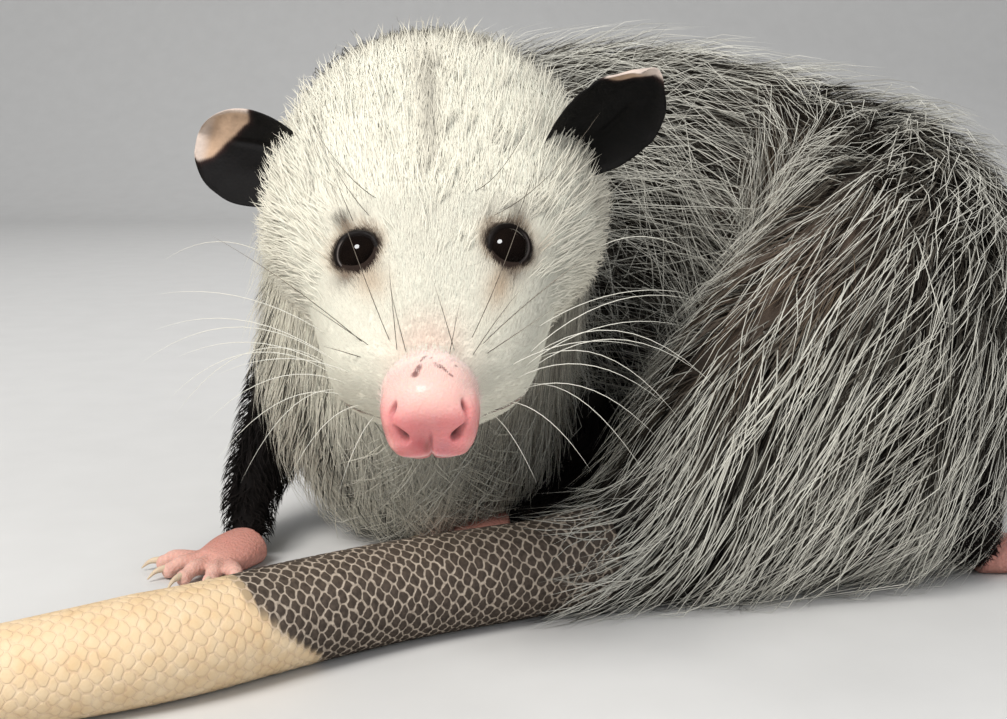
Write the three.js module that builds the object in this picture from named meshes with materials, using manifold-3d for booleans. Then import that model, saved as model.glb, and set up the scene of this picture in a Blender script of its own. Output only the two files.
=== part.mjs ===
// Virginia opossum, life size, curled on its belly in a C bent to its own left.
// Millimetres, +Z up, the face looks along -Y, origin under the middle of the whole model on the floor.
import * as THREE from 'three';
import { mergeVertices } from 'three/addons/utils/BufferGeometryUtils.js';
import Module from 'manifold-3d';

const wasm = await Module();
wasm.setup();

// Driving sizes
const GAP = 0.3; // clearance between two nodes that meet
const WELD = 0.03; // edges shorter than this are closed up
const SIDES = 28; // corners of a ring round the head, neck and torso
const HEAD_AT = new THREE.Vector3(-18.8, 341.8, 109); // midpoint between the eyes
const HEAD_PITCH = 29.3; // degrees, nose down
const HEAD_ROLL = -1.6; // degrees, its left ear higher
const HEAD_YAW = 2.3; // degrees, nose to its left
const MUZZLE_END = 55.5; // from the eyes' line to the bare nose
const EYE = { radius: 6.7, ahead: 10.4, aside: 17.4, up: 5.3 };
const EAR = { length: 38.5, width: 26.5, cup: 8, thick: 1.3, widest: 0.58 };
const NOSE = {
  reach: 13, half: 12, baseTop: 9.2, baseLow: -12, tipTop: 6.5, tipLow: -17.5, widest: 0.48, square: 2.3,
};
const NOSTRIL = { half: 2.1, depth: 3.4, high: 2.7, turn: 38, aside: 7.6, behindTip: 1.2, up: -3 };
const GROOVE = { radius: 0.9, length: 9, lean: 28, behindTip: 0.9, up: -6.2 };
const LID = { ring: 5.6, fleshy: 1.7, standOff: 3.1 };
const MOUTH = { frontUp: -10.5, cornerUp: -18, cornerAhead: 16, high: 1.1, depth: 3.5 };
const LOCK = { length: 56, wide: 37, thick: 4, sink: 4, rise: 13, apart: 32, rows: 34 };
const TAIL_RADIUS = 13.7;
const TAIL_SIDES = 16;

// Colours
const COLOUR = {
  face: 0xebe3cd,
  nose: 0xedbdb7,
  eye: 0x0b0908,
  ear: 0x161414,
  coat: 0x7d7a72,
  throat: 0xd8d3c4,
  leg: 0x2b2624,
  toes: 0xd99a8f,
  tailDark: 0x5d5349,
  tailPale: 0xe6cfa8,
};

const vec = (x, y, z) => new THREE.Vector3(x, y, z);
const radians = THREE.MathUtils.degToRad;
const lerp = THREE.MathUtils.lerp;

// Seeded random numbers between low and high
function randomFrom(seed) {
  let state = seed;
  return (low, high) => {
    state = (state + 0x6d2b79f5) | 0;
    let mixed = Math.imul(state ^ (state >>> 15), 1 | state);
    mixed = (mixed + Math.imul(mixed ^ (mixed >>> 7), 61 | mixed)) ^ mixed;
    return low + (high - low) * (((mixed ^ (mixed >>> 14)) >>> 0) / 4294967296);
  };
}

// Rows of numbers read as one smooth curve: position 0 is the first row, 1 the second
function smoothRow(rows, position) {
  const last = rows.length - 1;
  const at = THREE.MathUtils.clamp(position, 0, last);
  const index = Math.min(Math.floor(at), last - 1);
  const part = at - index;
  const before = rows[Math.max(index - 1, 0)];
  const from = rows[index];
  const to = rows[index + 1];
  const after = rows[Math.min(index + 2, last)];
  return from.map((value, k) => {
    const leave = (to[k] - before[k]) / 2;
    const arrive = (after[k] - value) / 2;
    const bend = 3 * (to[k] - value) - 2 * leave - arrive;
    const ease = 2 * (value - to[k]) + leave + arrive;
    return value + part * (leave + part * (bend + part * ease));
  });
}

// Solids
function solidOf(geometry) {
  geometry.deleteAttribute('normal');
  geometry.deleteAttribute('uv');
  const merged = mergeVertices(geometry, 1e-4);
  const mesh = new wasm.Mesh({
    numProp: 3,
    vertProperties: Float32Array.from(merged.attributes.position.array),
    triVerts: Uint32Array.from(merged.index.array),
    tolerance: WELD,
  });
  return new wasm.Manifold(mesh);
}

function geometryOf(solid) {
  const mesh = solid.getMesh();
  const geometry = new THREE.BufferGeometry();
  geometry.setAttribute('position', new THREE.BufferAttribute(Float32Array.from(mesh.vertProperties), 3));
  geometry.setIndex(new THREE.BufferAttribute(Uint32Array.from(mesh.triVerts), 1));
  geometry.computeVertexNormals();
  return geometry;
}

function joined(solids) {
  return solids.reduce((sum, next) => sum.add(next));
}

function largest(solid) {
  const bodies = solid.decompose();
  return bodies.reduce((best, next) => (next.volume() > best.volume() ? next : best));
}

// Closed skin over a row of rings, each end closed by a fan to its middle or to a tip
function loft(rings, tips = {}) {
  const count = rings[0].length;
  const middle = (ring) => ring.reduce((sum, p) => sum.add(p), vec(0, 0, 0)).divideScalar(count);
  const points = [...rings.flat()];
  const first = points.push(tips.start ?? middle(rings[0])) - 1;
  const last = points.push(tips.end ?? middle(rings[rings.length - 1])) - 1;
  const index = [];
  for (let k = 0; k < count; k += 1) {
    const next = (k + 1) % count;
    index.push(first, next, k);
    const tail = (rings.length - 1) * count;
    index.push(last, tail + k, tail + next);
    for (let r = 0; r < rings.length - 1; r += 1) {
      const low = r * count;
      const high = low + count;
      index.push(low + k, low + next, high + next, low + k, high + next, high + k);
    }
  }
  let volume = 0;
  for (let t = 0; t < index.length; t += 3) {
    const [a, b, c] = [points[index[t]], points[index[t + 1]], points[index[t + 2]]];
    volume += a.dot(b.clone().cross(c));
  }
  if (volume < 0) index.reverse();
  const geometry = new THREE.BufferGeometry();
  geometry.setFromPoints(points);
  geometry.setIndex(index);
  return solidOf(geometry);
}

function ballSolid(centre, radii, sides = 14, rows = 9) {
  const geometry = new THREE.SphereGeometry(1, sides, rows);
  geometry.scale(radii.x, radii.y, radii.z);
  geometry.translate(centre.x, centre.y, centre.z);
  return solidOf(geometry);
}

// Everything above a level floor, and everything on one side of an upright plane
function boxSolid(size, centre, turn = 0) {
  const geometry = new THREE.BoxGeometry(size.x, size.y, size.z);
  geometry.rotateZ(turn);
  geometry.translate(centre.x, centre.y, centre.z);
  return solidOf(geometry);
}
const REACH = 1200;
const ABOVE_FLOOR = boxSolid(vec(REACH, REACH, REACH), vec(0, 400, REACH / 2));
const behindPlane = (point, heading) => {
  const away = heading.clone().multiplyScalar(REACH / 2);
  const turn = Math.atan2(heading.y, heading.x);
  return boxSolid(vec(REACH, REACH, REACH), point.clone().add(away), turn);
};

// Section of the body between a top and a bottom point, round at its sides
function sectionPoint(top, bottom, across, angle, widest, squareness) {
  const up = Math.cos(angle);
  const aside = Math.sin(angle);
  const power = 2 / squareness;
  const lift = Math.sign(up) * Math.abs(up) ** power;
  const spread = Math.sign(aside) * Math.abs(aside) ** power;
  const height = widest + lift * (lift > 0 ? 1 - widest : widest);
  return bottom.clone().lerp(top, height).addScaledVector(across, spread);
}

// Head, in its own frame: the eyes' line at the origin, nose towards -Y
// rows: top ahead, top up, bottom ahead, bottom up, half width
const HEAD_ROWS = [
  [MUZZLE_END, 8.8, MUZZLE_END - 3, -16.5, 14.5],
  [46, 10.2, 43, -24, 23.5],
  [31, 10.8, 28, -26.5, 28],
  [15, 12, 12, -28, 32],
  [0, 15, -3, -32, 38.5],
  [-14, 19, -11, -37.5, 43.5],
  [-28, 24, -16, -42, 45.5],
  [-41, 28, -20, -46, 46],
  [-56, 29, -23, -50, 44.5],
  [-71, 26, -26, -52.4, 42],
];
const HEAD_RINGS = 18;
const HEAD_LAST = HEAD_ROWS.length - 1;
const HEAD_WIDEST = 0.5;
const HEAD_SQUARE = 2.15;

function headRing(position, grow = 0) {
  const [topAhead, topUp, lowAhead, lowUp, half] = smoothRow(HEAD_ROWS, position);
  const top = vec(0, -topAhead, topUp);
  const low = vec(0, -lowAhead, lowUp);
  const rise = top.clone().sub(low).normalize();
  top.addScaledVector(rise, grow);
  low.addScaledVector(rise, -grow);
  const across = vec(half + grow, 0, 0);
  const ring = [];
  for (let k = 0; k < SIDES; k += 1) {
    const angle = (2 * Math.PI * k) / SIDES;
    ring.push(sectionPoint(top, low, across, angle, HEAD_WIDEST, HEAD_SQUARE));
  }
  return ring;
}

function headSolid(grow = 0, to = HEAD_LAST, steps = HEAD_RINGS) {
  const rings = [];
  for (let r = 0; r <= steps; r += 1) {
    rings.push(headRing((to * r) / steps, grow));
  }
  return loft(rings);
}

const headGroup = new THREE.Group();
headGroup.position.copy(HEAD_AT);
headGroup.rotation.set(radians(HEAD_PITCH), radians(HEAD_ROLL), radians(HEAD_YAW), 'ZXY');
headGroup.updateMatrixWorld(true);

function eyeCentre(side) {
  return vec(side * EYE.aside, -EYE.ahead, EYE.up);
}

function eyeSolid(side, grow = 0) {
  const radius = EYE.radius + grow;
  return ballSolid(eyeCentre(side), vec(radius, radius, radius), 12, 8);
}

// Lids: a ring of flesh round each eye, seen where it stands out of the head
function lidSolid(side) {
  const geometry = new THREE.TorusGeometry(LID.ring, LID.fleshy, 5, 12);
  const outward = vec(side * 0.5, -0.62, 0.6).normalize();
  geometry.applyQuaternion(new THREE.Quaternion().setFromUnitVectors(vec(0, 0, 1), outward));
  const rim = eyeCentre(side).addScaledVector(outward, LID.standOff);
  geometry.translate(rim.x, rim.y, rim.z);
  return solidOf(geometry);
}

// Line of the mouth: a thin cut round the muzzle, as deep as the lips
function mouthSolid() {
  const length = MUZZLE_END + 6 - MOUTH.cornerAhead;
  const fall = Math.atan2(MOUTH.frontUp - MOUTH.cornerUp, length);
  const slab = new THREE.BoxGeometry(90, length, MOUTH.high);
  slab.rotateX(-fall);
  slab.translate(0, -MOUTH.cornerAhead - length / 2, (MOUTH.frontUp + MOUTH.cornerUp) / 2);
  return solidOf(slab).subtract(headSolid(-MOUTH.depth, 5, 5));
}

// Bare nose: two lobes with a nostril each and a groove between them
function noseSolid() {
  const steps = 6;
  const sides = 16;
  const rings = [];
  for (let r = 0; r <= steps; r += 1) {
    const part = r / steps;
    const round = Math.sqrt(Math.max(1 - (part * 0.96) ** 2.6, 0.02));
    const ahead = MUZZLE_END + GAP + NOSE.reach * part;
    const across = vec(NOSE.half * round, 0, 0);
    const top = vec(0, -ahead, lerp(NOSE.baseTop, NOSE.tipTop, part) * round);
    const low = vec(0, -ahead, lerp(NOSE.baseLow, NOSE.tipLow, part) * round);
    const ring = [];
    for (let k = 0; k < sides; k += 1) {
      ring.push(sectionPoint(top, low, across, (2 * Math.PI * k) / sides, NOSE.widest, NOSE.square));
    }
    rings.push(ring);
  }
  return loft(rings);
}

function nostrilSolid(side) {
  const geometry = new THREE.SphereGeometry(1, 8, 6);
  geometry.scale(NOSTRIL.half, NOSTRIL.depth, NOSTRIL.high);
  geometry.rotateZ(radians(side * NOSTRIL.turn));
  geometry.translate(side * NOSTRIL.aside, NOSTRIL.behindTip - MUZZLE_END - NOSE.reach, NOSTRIL.up);
  return solidOf(geometry);
}

function grooveSolid() {
  const geometry = new THREE.CylinderGeometry(GROOVE.radius, GROOVE.radius, GROOVE.length, 6);
  geometry.rotateX(radians(GROOVE.lean));
  geometry.translate(0, GROOVE.behindTip - MUZZLE_END - NOSE.reach, GROOVE.up);
  return solidOf(geometry);
}

// Ear: a thin cupped leaf, its two faces split into triangles alike
function earSolid(ear) {
  const along = 8;
  const across = 7;
  const face = (lift) => {
    const rows = [];
    for (let r = 0; r <= along; r += 1) {
      const part = r / along;
      const half = (EAR.width / 2) * (part < EAR.widest
        ? 0.5 + 0.5 * Math.sin((Math.PI * part) / (2 * EAR.widest))
        : Math.sqrt(1 - ((part - EAR.widest) / (1.03 - EAR.widest)) ** 2));
      const row = [];
      for (let c = 0; c <= across; c += 1) {
        const v = (2 * c) / across - 1;
        const deep = EAR.cup * (1 - 0.5 * part) * (1 - v * v) + EAR.cup * 0.5 * part * part;
        const stretch = EAR.length * (part - 0.06 * v * v * part);
        row.push(vec(v * half, -EAR.cup + deep + lift, stretch));
      }
      rows.push(row);
    }
    return rows;
  };
  const front = face(0);
  const back = face(EAR.thick);
  const points = [...front.flat(), ...back.flat()];
  const wide = across + 1;
  const offset = front.flat().length;
  const index = [];
  for (let r = 0; r < along; r += 1) {
    for (let c = 0; c < across; c += 1) {
      const a = r * wide + c;
      const b = a + 1;
      const d = a + wide;
      const e = d + 1;
      index.push(a, b, e, a, e, d);
      index.push(offset + a, offset + e, offset + b, offset + a, offset + d, offset + e);
    }
  }
  const rim = [];
  for (let c = 0; c < across; c += 1) rim.push([c, c + 1]);
  for (let r = 0; r < along; r += 1) rim.push([r * wide + across, (r + 1) * wide + across]);
  for (let c = across; c > 0; c -= 1) rim.push([along * wide + c, along * wide + c - 1]);
  for (let r = along; r > 0; r -= 1) rim.push([r * wide, (r - 1) * wide]);
  rim.forEach(([a, b]) => index.push(b, a, offset + a, b, offset + a, offset + b));
  const geometry = new THREE.BufferGeometry();
  geometry.setFromPoints(points);
  geometry.setIndex(index);
  const along3 = ear.along.clone().normalize();
  const facing = ear.facing.clone().projectOnPlane(along3).normalize();
  const aside = facing.clone().negate().cross(along3);
  geometry.applyMatrix4(new THREE.Matrix4().makeBasis(aside, facing.negate(), along3));
  geometry.translate(ear.root.x, ear.root.y, ear.root.z);
  return solidOf(geometry);
}

const EARS = {
  left: { root: vec(34, 36, 8), along: vec(0.71, -0.12, 0.69), facing: vec(0, -1, -0.17) },
  right: { root: vec(-31, 35.5, 2), along: vec(-0.94, 0.29, 0.15), facing: vec(-0.19, -0.86, 0.47) },
};

// Body from the back of the head to the tail
// rows: x, y, top, bottom, half width outside the bend, half width inside it
const BODY_ROWS = [
  [-21, 391, 165, 74, 42, 42],
  [-23, 399, 164, 46, 43, 43],
  [-26, 414, 162, 20, 47, 45],
  [-26, 438, 162, 0, 51, 47],
  [-14, 470, 164, -3, 53, 48],
  [16, 497, 169, -3, 53, 48],
  [50, 505, 171, -3, 53, 48],
  [80, 505, 167, -3, 53, 46],
  [115.4, 490.4, 157, -3, 53, 44],
  [130, 455, 146, -3, 53, 43],
  [115.4, 419.6, 132, -3, 51, 43],
  [100, 409, 118, -3, 47, 41],
  [75, 397, 94, -3, 38, 35],
  [50, 384.5, 62, -2, 27, 26],
  [28, 374, 30, -1, 15, 15],
  [-8, 356.6, 28, -1, 14, 14],
];
const TAIL_ROOT = BODY_ROWS.length - 2; // row where the torso ends and the tail starts
const BODY_WIDEST = 0.42;
const BODY_SQUARE = 2.2;

function bodyPoint(position, angle, grow = 0) {
  const [x, y, top, bottom, outer, inner] = smoothRow(BODY_ROWS, position);
  const step = 0.02;
  const here = smoothRow(BODY_ROWS, position - step);
  const there = smoothRow(BODY_ROWS, position + step);
  const heading = vec(there[0] - here[0], there[1] - here[1], 0).normalize();
  const half = (Math.sin(angle) > 0 ? outer : inner) + grow;
  const across = vec(-heading.y, heading.x, 0).multiplyScalar(half);
  const back = vec(x, y, top + grow);
  const belly = vec(x, y, bottom - grow);
  return sectionPoint(back, belly, across, angle, BODY_WIDEST, BODY_SQUARE);
}

function bodyRing(position, grow = 0) {
  const ring = [];
  for (let k = 0; k < SIDES; k += 1) {
    ring.push(bodyPoint(position, (2 * Math.PI * k) / SIDES, grow));
  }
  return ring;
}

function bodySolid(from, to, rings, grow = 0) {
  const rows = [];
  for (let r = 0; r <= rings; r += 1) rows.push(bodyRing(lerp(from, to, r / rings), grow));
  return loft(rows);
}

function bodyHeading(position) {
  const here = smoothRow(BODY_ROWS, position - 0.02);
  const there = smoothRow(BODY_ROWS, position + 0.02);
  return vec(there[0] - here[0], there[1] - here[1], 0).normalize();
}

function bodyCentre(position) {
  const [x, y, top, bottom] = smoothRow(BODY_ROWS, position);
  return vec(x, y, (top + bottom) / 2);
}

// Locks of guard hair: flat blades rooted in the body, that rise off it along the lie of the coat
// shape rows: share of the length, of the width and of the thickness
const LOCK_SHAPE = [[0, 0.7, 1], [0.32, 1, 1], [0.7, 0.7, 0.75]];
const LOCK_FLOOR = 3; // lowest middle of a lock

function lockSolid(position, angle, size, steep) {
  const length = LOCK.length * size;
  const rise = LOCK.rise * Math.min(size, 1);
  const nudge = 0.01;
  const origin = bodyPoint(position, angle);
  const perPosition = bodyPoint(position + nudge, angle).distanceTo(origin) / nudge;
  const perAngle = bodyPoint(position, angle + nudge).distanceTo(origin) / nudge;
  const downward = Math.sign(Math.sin(angle)) || 1;
  const place = (share) => {
    const along = position + (share * length * Math.cos(steep)) / perPosition;
    const round = angle + (downward * share * length * Math.sin(steep)) / perAngle;
    const lift = (LOCK.sink + rise) * Math.sin((share * Math.PI) / 2) - LOCK.sink;
    const point = bodyPoint(along, round, lift);
    return point.setZ(Math.max(point.z, LOCK_FLOOR - share));
  };
  const rings = LOCK_SHAPE.map(([share, width, thick]) => {
    const centre = place(share);
    const heading = place(share + 0.05).sub(place(share - 0.05)).normalize();
    const outward = centre.clone().sub(bodyCentre(position)).projectOnPlane(heading).normalize();
    const across = outward.clone().cross(heading);
    const half = (LOCK.wide * size * width) / 2;
    const high = (LOCK.thick * thick) / 2;
    return [[half, -high], [0, high], [-half, -high]].map(([aside, up]) => centre.clone()
      .addScaledVector(across, aside).addScaledVector(outward, up));
  });
  return loft(rings, { end: place(1) });
}

// Angles round a section, evenly apart along its outline
function evenAngles(position, low, high, apart) {
  const steps = 90;
  const angles = Array.from({ length: steps + 1 }, (_, k) => radians(lerp(low, high, k / steps)));
  const reach = [0];
  for (let k = 1; k <= steps; k += 1) {
    const step = bodyPoint(position, angles[k]).distanceTo(bodyPoint(position, angles[k - 1]));
    reach.push(reach[k - 1] + step);
  }
  const count = Math.max(3, Math.round(reach[steps] / apart));
  return Array.from({ length: count }, (_, k) => (shift) => {
    const wanted = (reach[steps] * (k + 0.5 + shift)) / count;
    return angles[Math.max(0, reach.findIndex((value) => value >= wanted))];
  });
}

// Coat of one length, in rows across it; locks lie more steeply down the flanks than on the back
const LIE = { back: 14, flank: 34, flankFrom: 1.6, stray: 0.16 };
const OUTER_BEND = 1.12; // how much longer the outer side of the bend is than its middle

function coatSolid({ from, to, low = -138, high = 138, seed, bare }) {
  const random = randomFrom(seed);
  const locks = [];
  const reach = bodyCentre(from).distanceTo(bodyCentre(to)) * OUTER_BEND;
  const rows = Math.max(1, Math.round(reach / LOCK.rows));
  for (let r = 0; r < rows; r += 1) {
    const position = lerp(from, to, (r + 0.35) / rows);
    const [, , top, bottom] = smoothRow(BODY_ROWS, position);
    const size = Math.min(1, (top - bottom) / 90 + 0.3);
    evenAngles(position, low, high, LOCK.apart * size).forEach((angleAt) => {
      const angle = angleAt((r % 2 ? 0.2 : -0.2) + random(-0.12, 0.12));
      const onFlank = Math.min(1, Math.abs(angle) / LIE.flankFrom);
      const steep = radians(LIE.back + LIE.flank * onFlank) + random(-LIE.stray, LIE.stray);
      const scale = random(0.88, 1.12) * size;
      if (bare && bare(position, angle)) return;
      locks.push(lockSolid(position, angle, scale, steep));
    });
  }
  return joined(locks);
}

// Neck: from the flat back of the head to the shoulders
const NECK_END = 2.6;
const NECK_FACE = vec(0, 392.4, 0); // no lock of the neck reaches further forward
function neckSolid(grow = 0) {
  const shift = vec(0, GAP, 0);
  const headBack = headRing(HEAD_LAST, grow).map((p) => {
    const point = vec(-p.x, p.y, p.z);
    return point.applyMatrix4(headGroup.matrixWorld).add(shift);
  });
  const rows = [headBack];
  const steps = 6;
  for (let r = 1; r <= steps; r += 1) {
    const position = lerp(0.25, NECK_END, r / steps);
    const share = Math.max(0, 1 - r / 3);
    const ring = bodyRing(position, grow).map((p, k) => p.clone().lerp(headBack[k], share * 0.8));
    rows.push(ring);
  }
  return loft(rows);
}

// Tail: rings with a flat side on the floor, from the rump out to the tip
const TAIL_PATH = new THREE.CatmullRomCurve3([
  vec(28, 374, 0),
  vec(10.7, 365.8, 0),
  vec(-28.9, 346.3, 0),
  vec(-54.2, 329.5, 0),
  vec(-81.2, 309.2, 0),
  vec(-107, 296, 0),
  vec(-136, 286, 0),
  vec(-166, 283, 0),
  vec(-194, 290, 0),
  vec(-216, 306, 0),
  vec(-230, 329, 0),
  vec(-237, 354, 0),
], false, 'centripetal');
const TAIL_LENGTH = TAIL_PATH.getLength();

function tailRadius(part) {
  const thinning = Math.max(0, (part - 0.42) / 0.58);
  const swell = 1.2 * Math.max(0, 1 - part / 0.06);
  return TAIL_RADIUS + swell - 10.4 * thinning ** 1.15;
}

function tailRing(part, grow) {
  const radius = tailRadius(part) + grow;
  const point = TAIL_PATH.getPointAt(part);
  const heading = TAIL_PATH.getTangentAt(part);
  const across = vec(-heading.y, heading.x, 0);
  const ring = [];
  for (let k = 0; k < TAIL_SIDES; k += 1) {
    const angle = (2 * Math.PI * (k + 0.5)) / TAIL_SIDES;
    const rest = radius * Math.cos(Math.PI / TAIL_SIDES);
    const lift = vec(0, 0, rest + radius * Math.cos(angle));
    ring.push(point.clone().addScaledVector(across, radius * Math.sin(angle)).add(lift));
  }
  return ring;
}

function tailSolid(from, to, grow = 0) {
  const rows = [];
  const steps = Math.max(2, Math.round(((to - from) * TAIL_LENGTH) / 11));
  const start = from + GAP / TAIL_LENGTH;
  for (let r = 0; r <= steps; r += 1) rows.push(tailRing(lerp(start, to, r / steps), grow));
  if (to < 1) return loft(rows);
  const tip = TAIL_PATH.getPointAt(1).addScaledVector(TAIL_PATH.getTangentAt(1), 3);
  return loft(rows, { end: tip.setZ(tailRadius(1)) });
}

// Limb: a bent tube that thins along its joints, each with a centre and two radii
function limbSolid(joints, grow = 0, sides = 12, between = 3) {
  const rows = joints.map(([x, y, z, wide, high]) => [x, y, z, wide + grow, high + grow]);
  const rings = [];
  const steps = (joints.length - 1) * between;
  for (let r = 0; r <= steps; r += 1) {
    const position = (r / steps) * (joints.length - 1);
    const [x, y, z, wide, high] = smoothRow(rows, position);
    const here = smoothRow(rows, position - 0.05);
    const there = smoothRow(rows, position + 0.05);
    const heading = vec(there[0] - here[0], there[1] - here[1], there[2] - here[2]).normalize();
    const across = vec(0, 0, 1).cross(heading).normalize();
    const rise = heading.clone().cross(across);
    const ring = [];
    for (let k = 0; k < sides; k += 1) {
      const angle = (2 * Math.PI * k) / sides;
      const point = vec(x, y, z).addScaledVector(across, wide * Math.sin(angle));
      ring.push(point.addScaledVector(rise, high * Math.cos(angle)));
    }
    rings.push(ring);
  }
  return loft(rings);
}

// Foot: a flat palm with five toes, each ended by a claw
// toe and claw rows: share of the toe's length, distance past that, height, radius
const TOE_ROWS = [[0, -4, 3.4, 2.9], [0.55, 0, 4.4, 2.7], [1, 0, 2.4, 2.5]];
const CLAW_ROWS = [[1, -2, 3.2, 1.5], [1, 3, 3, 1], [1, 6, 1.4, 0.4]];
// palm rows: share of the palm's length, share of the foot's width, half height
const PALM_ROWS = [[0, 0.5, 6.5], [0.45, 0.56, 6], [1, 0.46, 4.4]];

function footSolid(foot, grow = 0) {
  const heading = vec(Math.cos(radians(foot.turn)), Math.sin(radians(foot.turn)), 0);
  const across = vec(-heading.y, heading.x, 0);
  const joint = (ahead, aside, up, wide, high) => {
    const point = foot.wrist.clone().addScaledVector(heading, ahead).addScaledVector(across, aside);
    return [point.x, point.y, up, wide, high];
  };
  const palm = PALM_ROWS.map(([share, wide, high]) => {
    return joint(foot.palm * share, 0, high * 0.8, foot.wide * wide, high);
  });
  const pieces = [limbSolid(palm, grow, 10, 2)];
  foot.toes.forEach(({ spread, length, back }) => {
    const turn = radians(spread);
    const row = ([share, past, up, radius]) => {
      const distance = length * share + past;
      const ahead = foot.palm * back + distance * Math.cos(turn);
      const aside = (spread / 120) * foot.wide + distance * Math.sin(turn);
      return joint(ahead, aside, up, radius, radius);
    };
    pieces.push(limbSolid(TOE_ROWS.map(row), grow, 5, 1));
    if (foot.clawless !== spread) pieces.push(limbSolid(CLAW_ROWS.map(row), grow, 3, 1));
  });
  return largest(joined(pieces).intersect(ABOVE_FLOOR));
}

const toesOf = (spreads, longest, loss) => spreads.map((spread) => {
  return { spread, length: longest - Math.abs(spread) * loss, back: 0.95 };
});
const FORE_TOES = toesOf([-56, -27, 0, 27, 56], 13, 0.045);
const HIND_TOES = toesOf([-30, -12, 6, 26], 15, 0.071);

const FEET = {
  forefoot_left: { wrist: vec(2, 428, 0), turn: 186, palm: 18, wide: 17, toes: FORE_TOES },
  forefoot_right: { wrist: vec(-84, 412, 0), turn: 238, palm: 18, wide: 17, toes: FORE_TOES },
  hindfoot_left: {
    wrist: vec(66, 440, 0), turn: 200, palm: 26, wide: 17,
    toes: [...HIND_TOES, { spread: -78, length: 12, back: 0.5 }], clawless: -78,
  },
  hindfoot_right: {
    wrist: vec(152, 404, 0), turn: 4, palm: 30, wide: 18,
    toes: [...HIND_TOES, { spread: 78, length: 13, back: 0.5 }], clawless: 78,
  },
};

// Legs, from the body to the wrist or heel: x, y, z, half width, half height
const LEGS = {
  foreleg_left: [[22, 446, 48, 15, 17], [26, 442, 24, 12, 14], [14, 434, 13, 9, 10], [2.5, 428, 8, 7.5, 7]],
  foreleg_right: [
    [-58, 446, 78, 17, 22], [-76, 448, 44, 14, 16], [-86, 434, 20, 10, 11], [-84.3, 412.5, 8, 7.5, 7],
  ],
  hindleg_left: [[70, 420, 56, 14, 18], [73, 430, 30, 13, 17], [74, 437, 14, 10, 10], [66.4, 440, 8, 7.5, 7]],
  hindleg_right: [
    [118, 402, 62, 20, 26], [134, 392, 32, 17, 20], [146, 398, 15, 12, 12], [151.6, 403.8, 8, 8, 7],
  ],
};

// Node list
const opossum = new THREE.Group();
opossum.add(headGroup);

function addNode(parent, name, solid, colour, roughness) {
  const material = new THREE.MeshStandardMaterial({ color: colour, roughness, metalness: 0 });
  const mesh = new THREE.Mesh(geometryOf(solid), material);
  mesh.name = name;
  parent.add(mesh);
}

// Head nodes
let head = headSolid().add(lidSolid(1)).add(lidSolid(-1));
head = head.subtract(eyeSolid(1, GAP)).subtract(eyeSolid(-1, GAP)).subtract(mouthSolid());
addNode(headGroup, 'head', largest(head), COLOUR.face, 0.8);
const nose = noseSolid().subtract(nostrilSolid(1)).subtract(nostrilSolid(-1)).subtract(grooveSolid());
addNode(headGroup, 'nose', largest(nose), COLOUR.nose, 0.35);
addNode(headGroup, 'eye_left', eyeSolid(1), COLOUR.eye, 0.08);
addNode(headGroup, 'eye_right', eyeSolid(-1), COLOUR.eye, 0.08);
const headClear = headSolid(GAP);
addNode(headGroup, 'ear_left', largest(earSolid(EARS.left).subtract(headClear)), COLOUR.ear, 0.6);
addNode(headGroup, 'ear_right', largest(earSolid(EARS.right).subtract(headClear)), COLOUR.ear, 0.6);

// Neck and torso lengths, parted by upright planes
const BARE_SIDE = -0.75; // where the bend closes on itself no locks grow
const LENGTHS = {
  neck: {
    to: NECK_END, colour: COLOUR.throat,
    coat: { from: 0.6, to: NECK_END, low: -125, high: 125, seed: 3 },
  },
  torso_front: {
    from: NECK_END, to: 5, rings: 6, colour: COLOUR.coat,
    coat: { from: NECK_END, to: 5, seed: 11, bare: (position, angle) => position > 4 && angle < -1.3 },
  },
  torso_middle: {
    from: 5, to: 7.2, rings: 6, colour: COLOUR.coat,
    coat: { from: 5, to: 7.2, seed: 23, bare: (position, angle) => angle < BARE_SIDE },
  },
  torso_side: {
    from: 7.2, to: 9.3, rings: 6, colour: COLOUR.coat,
    coat: { from: 7.2, to: 9.3, seed: 29, bare: (position, angle) => angle < BARE_SIDE },
  },
  torso_rear: {
    from: 9.3, to: TAIL_ROOT, rings: 9, colour: COLOUR.coat,
    coat: {
      from: 9.3, to: TAIL_ROOT, seed: 39, bare: (position, angle) => position < 12 && angle < BARE_SIDE,
    },
  },
};

function lengthSolid({ from, to, rings }, grow = 0) {
  return from === undefined ? neckSolid(grow) : bodySolid(from, to, rings, grow);
}

// Legs and feet stand clear of the body, and the coat clear of the legs and feet
const bodyClear = joined(Object.values(LENGTHS).map((length) => lengthSolid(length, GAP)));
const limbsClear = joined([
  ...Object.values(FEET).map((foot) => footSolid(foot, GAP)),
  ...Object.values(LEGS).map((joints) => limbSolid(joints, GAP)),
]);
const tailClear = tailSolid(0, 0.3, GAP);

Object.entries(LENGTHS).forEach(([name, length]) => {
  const past = behindPlane(bodyCentre(length.to), bodyHeading(length.to));
  const coat = coatSolid(length.coat).subtract(limbsClear).subtract(tailClear);
  let solid = lengthSolid(length);
  if (length.from === undefined) {
    solid = solid.add(coat.intersect(behindPlane(NECK_FACE, vec(0, 1, 0))));
  } else {
    const heading = bodyHeading(length.from);
    const start = bodyCentre(length.from).addScaledVector(heading, GAP);
    solid = solid.add(coat).intersect(behindPlane(start, heading));
  }
  addNode(opossum, name, largest(solid.subtract(past).intersect(ABOVE_FLOOR)), length.colour, 0.9);
});

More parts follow.
